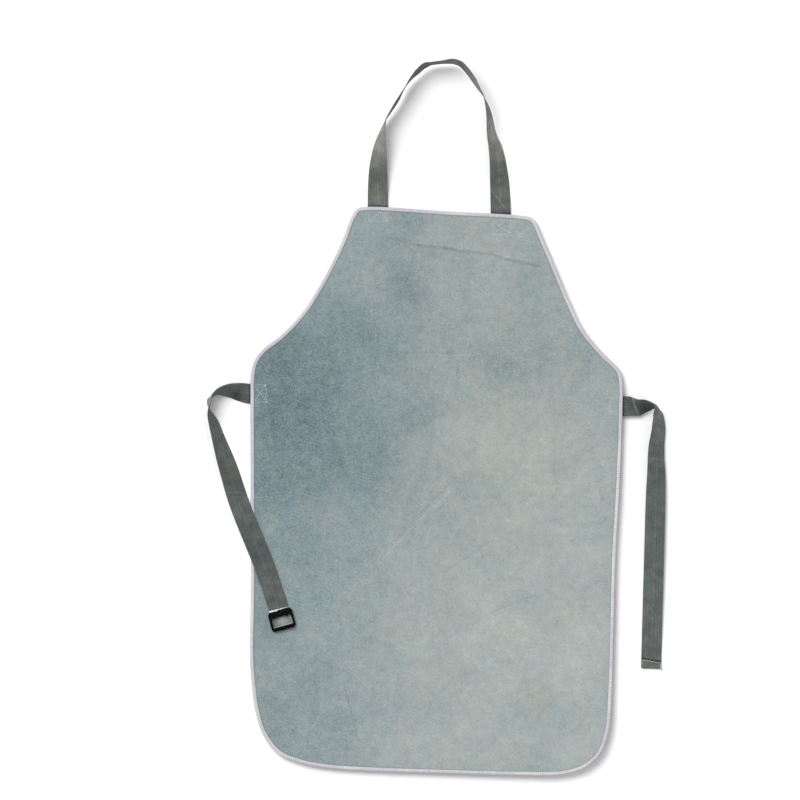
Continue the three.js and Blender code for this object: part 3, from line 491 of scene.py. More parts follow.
def makePanel():
    s = suede
    columns, rows = s["columns"], s["rows"]
    start, top, topEnd, left = rim.corners
    sides = [(start, top, rows), (top, topEnd, columns), (topEnd, left, rows), (left, start + 1, columns)]
    right, bib, leftSide, bottom = (
        points[:, :2] - normals * apron["tuck"]
        for points, normals in (rim.take(np.linspace(a, b, n + 1)) for a, b, n in sides))
    u = np.linspace(0, 1, columns + 1)[None, :, None]
    v = np.linspace(0, 1, rows + 1)[:, None, None]
    leftSide, bib = leftSide[::-1], bib[::-1]
    between = mixed(leftSide[:, None, :], right[:, None, :], u) + mixed(bottom[None], bib[None], v)
    corners = mixed(mixed(leftSide[0], right[0], u), mixed(leftSide[-1], right[-1], u), v)
    grid = (between - corners).reshape(-1, 2)
    x, y = grid[:, 0], grid[:, 1]
    height, distance = underside(x, y)
    height = height + apron["leather"] + leatherRelief(x, y, distance)
    points = np.column_stack([x, y, height])
    finishes = {"tone": leatherTone(x, y), "warmth": leatherWarmth(x, y), "inward": distance}
    wide = columns + 1
    faces = [(j * wide + i, j * wide + i + 1, (j + 1) * wide + i + 1, (j + 1) * wide + i)
             for j in range(rows) for i in range(columns)]
    piece = meshPiece("suede_panel", points, faces, "suede", "apron_panel", attributes=finishes)
    applyModifier(piece, "SOLIDIFY", thickness=apron["leather"] * mm, offset=-1.0)
    return piece


# lines on the suede: from and to in mm, width, how strong the painted shade in the crease, how deep
creaseShadeLines = [
    (-83, 862, -36, 850, 10, 0.06, 0.3), (-36, 850, 10, 844, 9, 0.13, 0.6), (10, 844, 40, 838, 9, 0.16, 0.7),
    (40, 838, 84, 834, 8, 0.12, 0.6), (84, 834, 112, 826, 9, 0.16, 0.7), (112, 826, 162, 815, 8, 0.11, 0.6),
    (34, 662, 35, 636, 5, 0.1, 0.5), (-120, 676, 60, 677, 5, 0.04, 0.2), (188, 538, 190, 470, 6, 0.05, 0.3),
    (84, 374, 14, 326, 4.5, 0.09, 0.2), (158, 288, 90, 262, 4.5, 0.065, 0.2),
    (90, 262, -20, 196, 4, 0.05, 0.2), (14, 459, -42, 404, 5, 0.07, 0.2), (30, 448, -22, 400, 4, 0.06, 0.2),
    (-42, 404, -80, 362, 4, 0.04, 0.2), (-150, 148, -124, 58, 4, 0.08, 0.3), (40, 196, 56, 120, 4, 0.05, 0.2),
    (100, 560, 150, 590, 4, 0.04, 0.2),
]
# pale scratches, and painted highlights on the lit side of the crease ridges
paleScratchAndHighlightLines = [
    (22, 455, -30, 408, 3.5, 0.08, 0.2), (-30, 408, -88, 346, 3.5, 0.07, 0.2),
    (-262, 182, -226, 148, 3.5, 0.07, 0.2), (-200, 300, -150, 262, 3.5, 0.05, 0.2),
    (-150, 640, -60, 660, 3.5, 0.05, 0.2), (120, 120, 200, 160, 3.5, 0.04, 0.2),
    (-36, 854, 40, 843, 4, 0.06, 0.1), (60, 842, 150, 824, 4, 0.05, 0.1),
    (-240, 700, -190, 690, 3.5, 0.04, 0.1),
]
spots = [  # across, up, radius, how much darker
    (265, 442, 5, 0.25), (271, 412, 4, 0.2), (-6, 596, 3, 0.1), (110, 883, 4, 0.22),
    (134, 872, 3.5, 0.2), (-226, 590, 3, 0.08),
]


def suedeFinish():
    s = suede
    f = Finish("suede", Roughness=0.95, Sheen_Weight=0.12, Sheen_Roughness=0.6, Specular_IOR_Level=0.15)
    place = f.place()
    tone = f.attribute("tone")
    clouds = f.noise(place, 16, 5.0, 0.62)
    mottles = f.noise(place, 75, 4.0, 0.6)
    grain = f.noise(place, 700, 3.0, 0.75)
    flecks = f.noise(place, 380, 2.0, 0.6)
    fibres = f.noise(f.stretched(f.turned(place, 40), (0.35, 1.0, 1.0)), 520, 2.0, 0.6)
    hairs = f.noise(f.stretched(f.turned(place, 65), (0.2, 1.0, 1.0)), 2600, 2.0, 0.6)
    wander = f.noise(place, 45, 3.0, 0.6, colour=True)
    wander = f.vector("SCALE", f.vector("SUBTRACT", wander, (0.5, 0.5, 0.5)), s["wander"] * mm)
    flat = f.vector("MULTIPLY", f.vector("ADD", place, wander), (1, 1, 0))

    def drawn(lines):
        # the strongest shade and the deepest line at each place
        shade, depth = None, None
        for ax, ay, bx, by, width, strong, deep in lines:
            a, b = (Vector(placed((px, py, 0))) for px, py in ((ax, ay), (bx, by)))
            a.z = b.z = 0.0
            way = b - a
            offset = f.vector("SUBTRACT", flat, a)
            share = f.vector("DOT_PRODUCT", offset, way / way.length_squared, "Value")
            held = f.add("ShaderNodeClamp", inputs={"Value": share})
            gap = f.vector("DISTANCE", offset, f.vector("SCALE", way, held), "Value")
            line = gap.smooth(0.0, width * mm / 2 + 0.6 * mm, 1.0, 0.0)
            shade = line * strong if shade is None else f.most(shade, line * strong)
            depth = line * deep if depth is None else f.most(depth, line * deep)
        return shade, depth

    # painted shade in the creases and their grooves, less the pale scratches and painted crease highlights;
    # real dark spots come next
    shadeAndSpots, relief = drawn(creaseShadeLines)
    pale, faint = drawn(paleScratchAndHighlightLines)
    shadeAndSpots = shadeAndSpots - pale
    relief = f.most(relief, faint)
    for x, y, radius, darker in spots:
        centre = Vector(placed((x, y, 0)))
        gap = f.vector("DISTANCE", flat, (centre.x, centre.y, 0), "Value")
        shadeAndSpots = shadeAndSpots + gap.smooth(0.0, radius * mm, darker, 0.0)
    # painted shade: the suede darkens in a band 5.6 to 8 mm in from the rim, the shadow under the binding's
    # edge
    shadeAndSpots = shadeAndSpots + f.attribute("inward").smooth(5.6, 8.0, 0.26, 0.0) * mottles.smooth(0.35, 0.6, 0.3, 1.0)
    value = 0.25 + tone * 0.5 + (clouds - 0.5) * 0.3 + (mottles - 0.5) * 0.3
    nap = (grain - 0.5) * 0.75 + (flecks - 0.5) * 0.3 + (fibres - 0.5) * 0.36 + (hairs - 0.5) * 0.4
    value = value + nap * (1.25 - tone * 0.7) - shadeAndSpots  # the dark suede has the coarser nap
    color = f.ramp(value, [(0.0, s["darkest"]), (0.25, s["dark"]), (0.75, s["light"]), (1.0, s["palest"])])
    hue = f.noise(place, 22, 5.0, 0.65)
    warmth = f.attribute("warmth")
    color = f.mix(warmth.smooth(0.0, -1.0), color, s["bluer"], "MULTIPLY")
    color = f.mix(warmth.smooth(0.0, 1.0), color, s["warmer"], "MULTIPLY")
    color = f.mix(hue.smooth(0.5, 0.72), color, s["blue"], "MULTIPLY")
    color = f.mix(hue.smooth(0.5, 0.3), color, s["warm"], "MULTIPLY")
    tint = f.noise(place, 110, 4.0, 0.65)
    color = f.mix(tint.smooth(0.52, 0.74), color, s["green"], "MULTIPLY")
    color = f.mix(tint.smooth(0.48, 0.28), color, s["warm"], "MULTIPLY")
    height = grain * 0.6 + flecks * 0.7 + fibres * 0.4 + hairs * 0.3 + mottles * 0.5 - relief * 1.2
    normal = f.bump(height, 0.7 * mm)
    roughness = grain.smooth(0.2, 0.8, 0.85, 1.0)
    return f.finish(color, roughness, normal)


panel = makePanel()
panel.data.materials.append(suedeFinish())
print("suede panel made:", len(panel.data.polygons), "faces")


# Edge binding, with its row of stitches
edge = {
    "width": 5.8, "crown": 0.3, "half": 1.85, "slot": 0.85, "step": 0.85, "pitch": 3.4,
    "stitchIn": 4.3, "thread": 0.24,
    "tape": paint(212, 211, 217), "shade": paint(180, 178, 185), "pink": paint(214, 200, 204),
    "furrowShade": paint(134, 133, 142), "outer": paint(170, 166, 173), "cream": paint(216, 212, 206),
    "threadColor": paint(222, 222, 226),
}


def rimHeight(points, normals):
    x, y = (points[:, :2] - normals * apron["levelStrip"]).T
    return apron["rimRise"] + points[:, 2] + raised(x, y)


def makeBinding():
    e = edge
    count = int(rim.length / e["step"])
    points, normals = rim.take(np.arange(count) / count)
    middle = rimHeight(points, normals) + apron["leather"] / 2
    s = np.arange(count) / count * rim.length
    stitches = round(rim.length / e["pitch"])
    phase = s / rim.length * stitches * 2 * math.pi
    rib = 0.5 + 0.5 * np.cos(phase)
    uneven = np.array([noise.noise((a / 14, 0, 0)) for a in s])
    top = e["half"] + e["crown"]
    # out from the rim, up from the leather's middle, how much a stitch lifts it, how much it draws in
    wide, slot, half = e["width"], e["slot"], e["half"]
    profile = [
        (-wide, slot, 0, 0), (-0.8, slot, 0, 0), (-0.8, -slot, 0, 0), (-wide, -slot, 0, 0),
        (-wide, -half, 0, 0), (-1.75, -half, 0, 0), (-0.5, -1.4, 0, 0), (0, -0.5, 0, 0.08),
        (0, 0.5, 0, 0.12), (-0.45, 1.4, 0.05, 0.1), (-1.6, top, 0.1, 0), (-3.0, top + 0.1, 0.2, 0),
        (-4.3, top - 0.2, 0.75, 0), (-5.3, top - 0.3, 0.5, 0.2), (-5.8, top - 0.95, 0.12, 0.35),
    ]
    ring = []
    for out, up, lifted, drawn in profile:
        outward = out + drawn * (rib - 0.5) * (1 if out > -2 else -1) + 0.12 * uneven * (drawn > 0)
        height = middle + up + lifted * (rib - 1) + 0.1 * uneven * (lifted > 0)
        ring.append(np.column_stack([points[:, :2] + normals * outward[:, None], height]))
    vertices = np.stack(ring, axis=1).reshape(-1, 3)
    around = len(profile)
    uv = np.column_stack([np.repeat(s / 10, around), np.tile(np.arange(around) / around, count)])
    faces = [(k * around + p, (k + 1) % count * around + p, (k + 1) % count * around + (p + 1) % around,
              k * around + (p + 1) % around) for k in range(count) for p in range(around)]
    return meshPiece("binding_tape", vertices, faces, "binding_tape", "edge_binding", uv=uv)


def threadModel(name, length, radius, sides=5):
    # one short stitch along X: its ends dive into the cloth
    model = primitive(bpy.ops.mesh.primitive_cylinder_add, vertices=sides, radius=radius, depth=length,
                      rotation=(0, math.pi / 2, 0))
    model.name = name
    bpy.ops.object.mode_set(mode="EDIT")
    for place in (length * 0.28, -length * 0.28):
        bpy.ops.mesh.select_all(action="SELECT")
        bpy.ops.mesh.bisect(plane_co=(place, 0, 0), plane_no=(1, 0, 0))
    bpy.ops.object.mode_set(mode="OBJECT")
    for vertex in model.data.vertices:
        if abs(vertex.co.x) > length * 0.4:
            vertex.co.z -= radius * 1.7
            vertex.co.y *= 0.55
    return model


def copies(name, model, frames, slotName, *nodes):
    # copies of a model, joined: each frame is its place and its heading, in the apron's millimetres
    base = np.array([v.co for v in model.data.vertices])
    polygons = [list(p.vertices) for p in model.data.polygons]
    points, faces = [], []
    for place, heading in frames:
        turn = np.array(Matrix.Rotation(heading, 3, "Z"))
        start = len(points) * len(base)
        points.append(base @ turn.T + np.array(place))
        faces.extend([[start + k for k in polygon] for polygon in polygons])
    bpy.data.objects.remove(model)
    return meshPiece(name, np.concatenate(points), faces, slotName, *nodes)


def makeBindingStitches():
    e = edge
    count = round(rim.length / e["pitch"])
    model = threadModel("stitch_model", e["pitch"] * 0.86, e["thread"])
    points, normals = rim.take((np.arange(count)) / count)
    height = rimHeight(points, normals) + apron["leather"] / 2 + e["half"] + e["crown"] - 0.18
    inner = points[:, :2] - normals * e["stitchIn"]
    frames = [((x, y, z), math.atan2(nx, -ny)) for (x, y), z, (nx, ny) in zip(inner, height, normals)]
    return copies("binding_stitches", model, frames, "binding_tape")


def tapeFinish():
    e = edge
    f = Finish("binding tape", Roughness=0.8, Sheen_Weight=0.2, Specular_IOR_Level=0.25)
    place = f.place()
    along, across, _ = f.split(f.uv())
    threads = (along * (2 * math.pi / 0.085)).wave()
    pitch = rim.length / round(rim.length / e["pitch"]) / 10
    ribs = (along * (2 * math.pi / pitch) + across * 5.0 + math.pi / 2).wave()
    upper = across.smooth(0.6, 0.72)
    fuzz = f.noise(place, 900, 3.0, 0.7)
    stain = f.noise(place, 30, 3.0, 0.6)
    color = f.mix(fuzz.smooth(0.25, 0.8), e["shade"], e["tape"])
    color = f.mix(f.noise(place, 9, 2.0, 0.5).smooth(0.5, 0.62) * 0.7, color, e["cream"])
    color = f.mix(stain.smooth(0.55, 0.75) * 0.45, color, e["pink"])
    # painted shade: the outer, lower side of the rounded binding is darkened
    color = f.mix((1 - upper) * 0.6, color, e["outer"])
    pressed = f.noise(place, 160, 2.0, 0.5).smooth(0.35, 0.65, 0.25, 0.75)
    # painted shade in the furrows between the stitches
    color = f.mix(ribs.smooth(-0.3, -0.95) * upper * pressed, color, e["furrowShade"])
    height = threads * 0.25 + fuzz + ribs * upper * 1.2
    return f.finish(color, fuzz.smooth(0.2, 0.8, 0.7, 0.95), f.bump(height, 0.18 * mm))


def threadFinish(name, color, shade):
    f = Finish(name, Roughness=0.55, Specular_IOR_Level=0.4)
    place = f.place()
    twist = f.noise(f.stretched(place, (1.0, 1.0, 2.0)), 1600, 2.0, 0.6)
    return f.finish(f.mix(twist, shade, color), None, f.bump(twist, 0.08 * mm))


bindingTape = makeBinding()
bindingTape.data.materials.append(tapeFinish())
bindingStitches = makeBindingStitches()
bindingStitches.data.materials.append(threadFinish("binding thread", edge["threadColor"], edge["tape"]))
print("binding made:", len(bindingTape.data.polygons) + len(bindingStitches.data.polygons), "faces")


# Webbing straps
# rows: across, up or down, heading, roll, curl, lift or over. Roll turns the strap about its heading.
neckRows = [
    (0, 0, 90, 0, 0, 0), (0.001, 0.21, 90, 20, 0.02, 0), (0.015, 0.401, 86, 50, 0.03, 0.2),
    (0.037, 0.497, 74, 70, 0.03, 0.45), (0.065, 0.591, 62, 89, 0.02, 0.7), (0.104, 0.65, 58, 94, 0.02, 0.85),
    (0.155, 0.72, 57, 96, 0.02, 0.95), (0.224, 0.822, 60, 90, 0, 1), (0.267, 0.878, 55, 95, 0.02, 1),
    (0.33, 0.937, 45, 103, 0.02, 1), (0.387, 0.978, 30, 104, 0.02, 1), (0.439, 0.992, 4, 97, 0.02, 1),
    (0.51, 1.003, 5, 97, 0.02, 1), (0.603, 1.015, -2, 103, 0.02, 1), (0.666, 1.004, -35, 104, 0.02, 1),
    (0.718, 0.967, -52, 103, 0.02, 1), (0.779, 0.902, -57, 102, 0.02, 1), (0.824, 0.84, -60, 96, 0.02, 0.95),
    (0.862, 0.789, -64, 90, 0, 0.9), (0.905, 0.678, -80, 75, 0.02, 0.7), (0.928, 0.54, -84, 62, 0.03, 0.45),
    (0.959, 0.446, -86, 47, 0.03, 0.25), (0.977, 0.352, -88, 36, 0.02, 0.1), (0.995, 0.163, -90, 12, 0.01, 0),
    (1, 0, -90, 0, 0, 0),
]
# across, down, heading, roll, curl, lift, over
leftRows = [
    (0, 0, 180, 0, 0, 1, 0), (-0.266, -0.006, 182, 23, 0.02, 0.6, 0), (-0.507, -0.01, 188, 45, 0.05, 0.2, 0),
    (-0.708, -0.006, 202, 64, 0.08, 0, 0), (-0.86, 0.003, 222, 82, 0.09, 0, 0),
    (-0.942, 0.014, 238, 92, 0.07, 0, 0), (-0.981, 0.028, 262, 103, 0.04, 0, 0),
    (-0.998, 0.048, 269, 98, 0.03, 0, 0), (-1, 0.062, 272, 90, 0.03, 0, 0),
    (-0.969, 0.086, 280, 76, 0.03, 0, 0), (-0.894, 0.12, 288, 62, 0.03, 0, 0),
    (-0.765, 0.196, 291, 49, 0.02, 0, 0.5), (-0.515, 0.333, 291, 20, 0.01, 0, 1),
    (-0.3, 0.457, 292, 4, 0, 0, 1), (0.15, 0.647, 292, 0, 0, 0, 1),
    (0.37, 0.724, 290, 0, 0, 0, 1), (0.67, 0.844, 289, 0, 0, 0, 1), (0.83, 0.913, 287, 0, 0, 0, 1),
]
rightRows = [
    (0, 0, 0, 0, 0, 1, 0), (0.201, 0, 0, -14, -0.02, 0.95, 0), (0.418, 0.004, 8, -33, -0.05, 0.88, 0),
    (0.626, -0.002, -2, -50, -0.1, 0.8, 0), (0.761, -0.003, -10, -64, -0.15, 0.7, 0),
    (0.865, 0, -28, -79, -0.19, 0.6, 0), (0.92, 0.008, -48, -95, -0.19, 0.5, 0),
    (0.964, 0.021, -62, -112, -0.14, 0.45, 0), (0.997, 0.04, -74, -123, -0.09, 0.45, 0),
    (1, 0.076, -82, -133, -0.06, 0.5, 0), (0.975, 0.11, -87, -138, -0.04, 0.55, 0),
    (0.931, 0.156, -91, -143, -0.03, 0.62, 0), (0.923, 0.198, -91, -147, -0.03, 0.7, 0),
    (0.925, 0.243, -91, -154, -0.02, 0.78, 0), (0.905, 0.357, -91.5, -170, -0.01, 0.9, 0),
    (0.873, 0.525, -91.5, -180, 0, 0.9, 0), (0.79, 0.951, -91.5, -180, 0, 0.15, 0),
    (0.781, 1, -91.5, -180, 0, 0, 0),
]
buckleHeading = 285
buckle = {
    "side": 3.3, "foot": 5.6, "bar": 10.4, "window": 16, "height": 5.2, "corner": 5.5, "play": 0.5,
    "edge": 0.75, "notches": (13.4, 5.2), "notchWidth": 3.4, "notchDepth": 2.2,
    "teeth": 11, "toothPitch": 2.75, "spur": (9.5, 2.4, 2.6), "channel": 2.1,
    "plastic": paint(3, 4, 5), "scuffAndHighlight": paint(34, 42, 48),
}
tieEnd = (leftRoot[0] + webbing["buckleInset"], leftRoot[1] - webbing["leftDrop"])


def sewnLift(end, inward):
    (rootX, rootY), (dx, dy) = sewnEnds[end]
    asides = np.array([-0.5, 0, 0.5]) * webbing["width"]
    height, _ = underside(rootX + dx * inward - dy * asides, rootY + dy * inward + dx * asides)
    behind = apron["strapRise"] + (apron["rimRise"] if inward < edge["width"] else 0)
    return max(height.min() - behind, 0)


def neckPath():
    w = webbing
    rows = []
    for across, up, heading, roll, curl, lift in neckRows:
        x = mixed(neckLeft[0], neckRight[0], across)
        y = mixed(neckLeft[1], neckRight[1], across) + up * w["neckRise"]
        rows.append([x, y, heading, roll, curl, lift * w["neckLift"], 0])
    for row, end in ((rows[0], "neckLeft"), (rows[-1], "neckRight")):
        row[5] = sewnLift(end, 0)
    inner = [[row[0], root[1] - w["sewn"], *row[2:5], sewnLift(end, w["sewn"]), 0]
             for row, root, end in ((rows[0], neckLeft, "neckLeft"), (rows[-1], neckRight, "neckRight"))]
    return [inner[0], *rows, inner[1]]


def tiePath(table, root, reach, drop, end):
    rows = []
    for across, down, heading, roll, curl, lift, over in table:
        x = root[0] + across * (webbing["buckleInset"] if end == "left" and across > 0 else reach)
        rows.append([x, root[1] - down * drop, heading, roll, curl, lift * sewnLift(end, 0), over])
    into = sewnEnds[end][1][0] * webbing["sewn"]
    return [[root[0] + into, rows[0][1], *rows[0][2:5], sewnLift(end, webbing["sewn"]), 0], *rows]


def smoothColumn(knots, values, at):
    # a smooth run through the rows that never overshoots them
    slopes = np.zeros(len(values))
    steps = np.diff(values) / np.diff(knots)
    slopes[0], slopes[-1] = steps[0], steps[-1]
    product = steps[:-1] * steps[1:]
    total = steps[:-1] + steps[1:]
    slopes[1:-1] = np.where(product > 0, 2 * product / np.where(total == 0, 1, total), 0)
    i = np.clip(np.searchsorted(knots, at, side="right") - 1, 0, len(knots) - 2)
    width = knots[i + 1] - knots[i]
    t = (at - knots[i]) / width
    rest = 1 - t
    return (values[i] * (1 + 2 * t) * rest**2 + slopes[i] * width * t * rest**2
            + values[i + 1] * t * t * (3 - 2 * t) - slopes[i + 1] * width * t * t * rest)


def topAt(x, y):
    height, distance = underside(x, y)
    onBinding = (distance < edge["width"]) & (distance > 0)
    top = height + apron["leather"] + np.where(onBinding, 1.4, 0)
    return np.where(distance > 0, top, 0)


def supportHeights(at, x, y, heading, roll, over):
    half = webbing["width"] / 2 * np.abs(np.cos(roll))
    sides = np.linspace(-1, 1, 7)
    tops = np.stack([topAt(x + np.sin(heading) * half * s, y - np.cos(heading) * half * s) for s in sides])
    raw = np.where(over > 0, over * tops.max(axis=0), 0)
    near = np.abs(at[:, None] - at[None, :]) <= webbing["bridge"]
    highest = np.where(near, raw[None, :], 0).max(axis=1)
    return (near * highest[None, :]).sum(axis=1) / near.sum(axis=1)


# across and up from the hem in mm, radius, how much paler (darker below 0): fading, and painted light and
# shade on the twisted straps and in the buckle's window
webbingWearAndLightPatches = [
    (-95, 1015, 26, 0.24), (-91, 985, 20, 0.12), (-86, 1040, 16, 0.1), (-98, 958, 20, -0.06),
    (-92, 922, 24, 0.12), (95, 1035, 24, 0.28), (100, 1000, 24, 0.2), (104, 930, 26, 0.06),
    (66, 1107, 20, 0.17), (-40, 1120, 26, -0.04), (-10, 1138, 18, -0.02), (28, 1142, 20, 0.16),
    (-364, 606, 8, 0.24), (-320, 612, 7, -0.22), (-319, 601, 8, -0.24), (-332, 604, 12, -0.06),
    (-340, 560, 26, -0.04), (-324, 462, 26, -0.09), (-303, 440, 8, 0.08), (-288, 364, 42, -0.09),
    (308, 595, 14, -0.14), (334, 588, 13, -0.22), (352, 574, 10, 0.18), (358, 548, 16, 0.1),
    (345, 300, 60, 0.02), (-245.5, 246, 13, 0.46),
]
# folds across a strap: how far along (below 0, from its end), how much further at the other selvedge,
# how high, how wide, how pale the painted highlight on the ridge (below 0, painted shadow, as in the gap
# above the hem's flap), and the share across that it starts from
strapCreases = {
    "right_tie_webbing": [(46.5, 8.5, 1.3, 1.8, 0.36, -0.6), (164, 2, 0.4, 4.0, 0.08, -0.6),
                          (-11.6, 5, 0.8, 1.2, -1.2, -0.42)],
    "neck_webbing": [(-45, -41, 0.25, 3.0, 0.13, -0.25)],
    "left_tie_webbing": [(251, -12, 0.3, 1.0, 0.16, -0.6)],
}

ribbon = {"across": 36, "step": 2.0, "ribs": 5, "ribHeight": 0.08}


def ribbonProfile():
    # (place across, half thickness) from one selvedge to the other, with shallow ribs
    w = webbing
    share = np.linspace(-0.5, 0.5, ribbon["across"] + 1)
    ribs = np.cos(share * 2 * math.pi * ribbon["ribs"]) * ribbon["ribHeight"] / 2
    rounding = 0.8
    near = np.clip(1 - (w["width"] / 2 - np.abs(share) * w["width"]) / rounding, 0, 1)
    selvedge = np.sqrt(np.clip(1 - near**2, 0.08, 1))
    return share, (w["thickness"] / 2 - ribbon["ribHeight"] / 2 + ribs) * selvedge


def strapMesh(name, path, *nodes):
    rows = np.array(path, float)
    knots = runAlong(rows[:, :2])
    fine = np.linspace(0, knots[-1], 1200)
    turning = np.abs(np.gradient(smoothColumn(knots, rows[:, 3], fine)))
    turning = turning + np.abs(np.gradient(smoothColumn(knots, rows[:, 2], fine)))
    creases = [(place if place > 0 else knots[-1] + place, *rest) for place, *rest in strapCreases[name]]
    nearCrease = sum(np.exp(-((fine[1:] - crease[0]) / 6) ** 2) for crease in creases) if creases else 0.0
    grown = np.diff(fine) * (1 + 3 * nearCrease) + np.radians(turning[1:]) * webbing["width"] * 0.6
    weight = np.concatenate([[0], np.cumsum(grown)])
    count = int(weight[-1] / ribbon["step"])
    at = np.interp(np.linspace(0, weight[-1], count), weight, fine)
    x, y, heading, roll, curl, lift, over = (smoothColumn(knots, rows[:, k], at) for k in range(7))
    heading, roll = np.radians(heading), np.radians(roll)
    support = supportHeights(at, x, y, heading, roll, over)
    share, half = ribbonProfile()
    side = np.column_stack([np.sin(heading), -np.cos(heading), np.zeros(count)])
    upward = np.array([0, 0, 1.0])
    across = side * np.cos(roll)[:, None] + upward * np.sin(roll)[:, None]
    normal = upward * np.cos(roll)[:, None] - side * np.sin(roll)[:, None]
    cup = curl[:, None] * webbing["width"] * (0.5 - 4 * share[None, :] ** 2)
    sheet = across[:, None, :] * (share * webbing["width"])[None, :, None]
    sheet = sheet + normal[:, None, :] * cup[:, :, None]
    # painted light along the creases: paler on the ridge, darker in the gap
    paler = np.zeros((count, len(share)))
    for place, slant, high, wide, pale, start in creases:
        beside = (at[:, None] - place - slant * share[None, :]) / wide
        strength = np.exp(-beside ** 2) * smoothStep((share[None, :] - start + 0.05) / 0.05)
        sheet = sheet + normal[:, None, :] * (high * strength)[:, :, None]
        paler = paler + pale * strength
    top = sheet + normal[:, None, :] * half[None, :, None]
    bottom = sheet - normal[:, None, :] * half[None, :, None]
    ring = np.concatenate([top, bottom[:, ::-1]], axis=1)
    lowest = ring[:, :, 2].min(axis=1)
    rest = np.where(support > 0, support + 0.1, 0)
    base = np.column_stack([x, y, rest + lift - lowest])
    centre = base + sheet[:, len(share) // 2]
    ran = runAlong(centre)
    paler = np.concatenate([paler, paler[:, ::-1]], axis=1)
    return finishRibbon(name, base[:, None, :] + ring, ran, nodes, paler), ran[-1]


def tubeFaces(count, around):
    # the sides of a tube made of rings of points
    steps = [(k * around, i, (i + 1) % around) for k in range(count - 1) for i in range(around)]
    return [(ring + a, ring + b, ring + around + b, ring + around + a) for ring, a, b in steps]


def finishRibbon(name, rings, ran, nodes, paler=0.0):
    # a tube of rings round the webbing's section, closed at both ends
    count, around = rings.shape[:2]
    faces = tubeFaces(count, around)
    half = around // 2
    for start, turn in ((0, 1), ((count - 1) * around, -1)):
        for i in range(half - 1):
            quad = (start + i, start + around - 1 - i, start + around - 2 - i, start + i + 1)
            faces.append(quad[::turn])
    share = np.linspace(-0.5, 0.5, half) * webbing["width"] / 10
    uv = np.column_stack([np.tile(np.concatenate([share, share[::-1]]), count), np.repeat(ran / 10, around)])
    points = rings.reshape(-1, 3)
    wear, seam = webbingWearAndShade(points[:, 0], points[:, 1])
    wear = wear + np.ravel(paler)
    return meshPiece(name, points, faces, "webbing", *nodes, uv=uv, attributes={"wear": wear, "seam": seam})


def webbingWearAndShade(x, y):
    # wear and painted light and shade along the straps, and the painted shadow and dark thread line where
    # each comes out from under the rim
    seam = np.zeros(len(x))
    for (rootX, rootY), (dx, dy) in sewnEnds.values():
        out = -(x - rootX) * dx - (y - rootY) * dy
        aside = np.abs((x - rootX) * dy - (y - rootY) * dx)
        seam = np.maximum(seam, 0.85 * np.exp(-(out / 2.4) ** 2) * (aside < 20))
    return patches(x, y, webbingWearAndLightPatches), seam


neckStrap, neckLength = strapMesh("neck_webbing", neckPath(), "neck_strap")
leftPath = tiePath(leftRows, leftRoot, webbing["leftReach"], webbing["leftDrop"], "left")
away = np.array([-math.cos(math.radians(buckleHeading)), -math.sin(math.radians(buckleHeading))])
mouth = away * (buckle["window"] + buckle["bar"])
leftPath.append([tieEnd[0] + mouth[0], tieEnd[1] + mouth[1], buckleHeading, 0, 0, 0, 1])
leftPath.append([*tieEnd, buckleHeading, 0, 0, 0, 1])
leftTie, leftLength = strapMesh("left_tie_webbing", leftPath, "left_waist_tie")
rightPath = tiePath(rightRows, rightRoot, webbing["rightReach"], webbing["rightDrop"], "right")
rightTie, rightLength = strapMesh("right_tie_webbing", rightPath, "right_waist_tie")
print("straps made:", round(neckLength), round(leftLength), round(rightLength), "mm")

rightEnd = np.array([*rightPath[-1][:2], 0])
rightHeading = math.radians(rightPath[-1][2])
rightAlong = np.array([math.cos(rightHeading), math.sin(rightHeading), 0])
rightAside = np.array([math.sin(rightHeading), -math.cos(rightHeading), 0])
hemFold = {"left": 12.3, "right": 7.3, "slit": 0.75, "steps": 8, "inset": 2.2, "edgeHighlight": 0.75}


def makeHemFold():
    # the tie's end turned back over itself, its cut edge on a slant
    h = hemFold
    along, aside, end = rightAlong, rightAside, rightEnd
    share, half = ribbonProfile()
    thick = webbing["thickness"]
    radius = (thick + h["slit"]) / 2
    rings, ran, paler = [], [], []
    turn = [(radius * math.sin(a), radius - radius * math.cos(a), a)
            for a in np.linspace(0, math.pi, h["steps"] + 1)]
    back = [(-b, 2 * radius, math.pi) for b in (0.25, 0.5, 0.75, 0.9, 1.0)]
    for forward, up, angle in turn + back:
        facing = along * -math.sin(angle) + np.array([0, 0, 1.0]) * math.cos(angle)
        reach = np.full(len(share), max(forward, 0.0))
        if forward < 0:  # the flap, as long on each side as the slant asks
            reach = forward * mixed(h["right"], h["left"], share + 0.5)
        inset = h["inset"] * angle / math.pi  # it stands back from the left selvedge
        across = share * (webbing["width"] - inset) - inset / 2
        middle = end + along * reach[:, None] + aside * across[:, None]
        middle = middle + np.array([0, 0, thick / 2 + up])
        middle[:, 2] += 0.35 * max(-forward, 0) * np.cos(share * 9)
        top, bottom = (middle + facing * half[:, None] * sign for sign in (1, -1))
        rings.append(np.concatenate([top, bottom[::-1]]))
        ran.append(rightLength + angle * radius + max(-forward, 0) * h["left"])
        # painted highlight along the flap's cut edge
        paler.append(np.full(2 * len(share), h["edgeHighlight"] if forward == -1.0 else 0.06))
    return finishRibbon("hem_fold", np.array(rings), np.array(ran), [], np.array(paler))


hemPiece = makeHemFold()


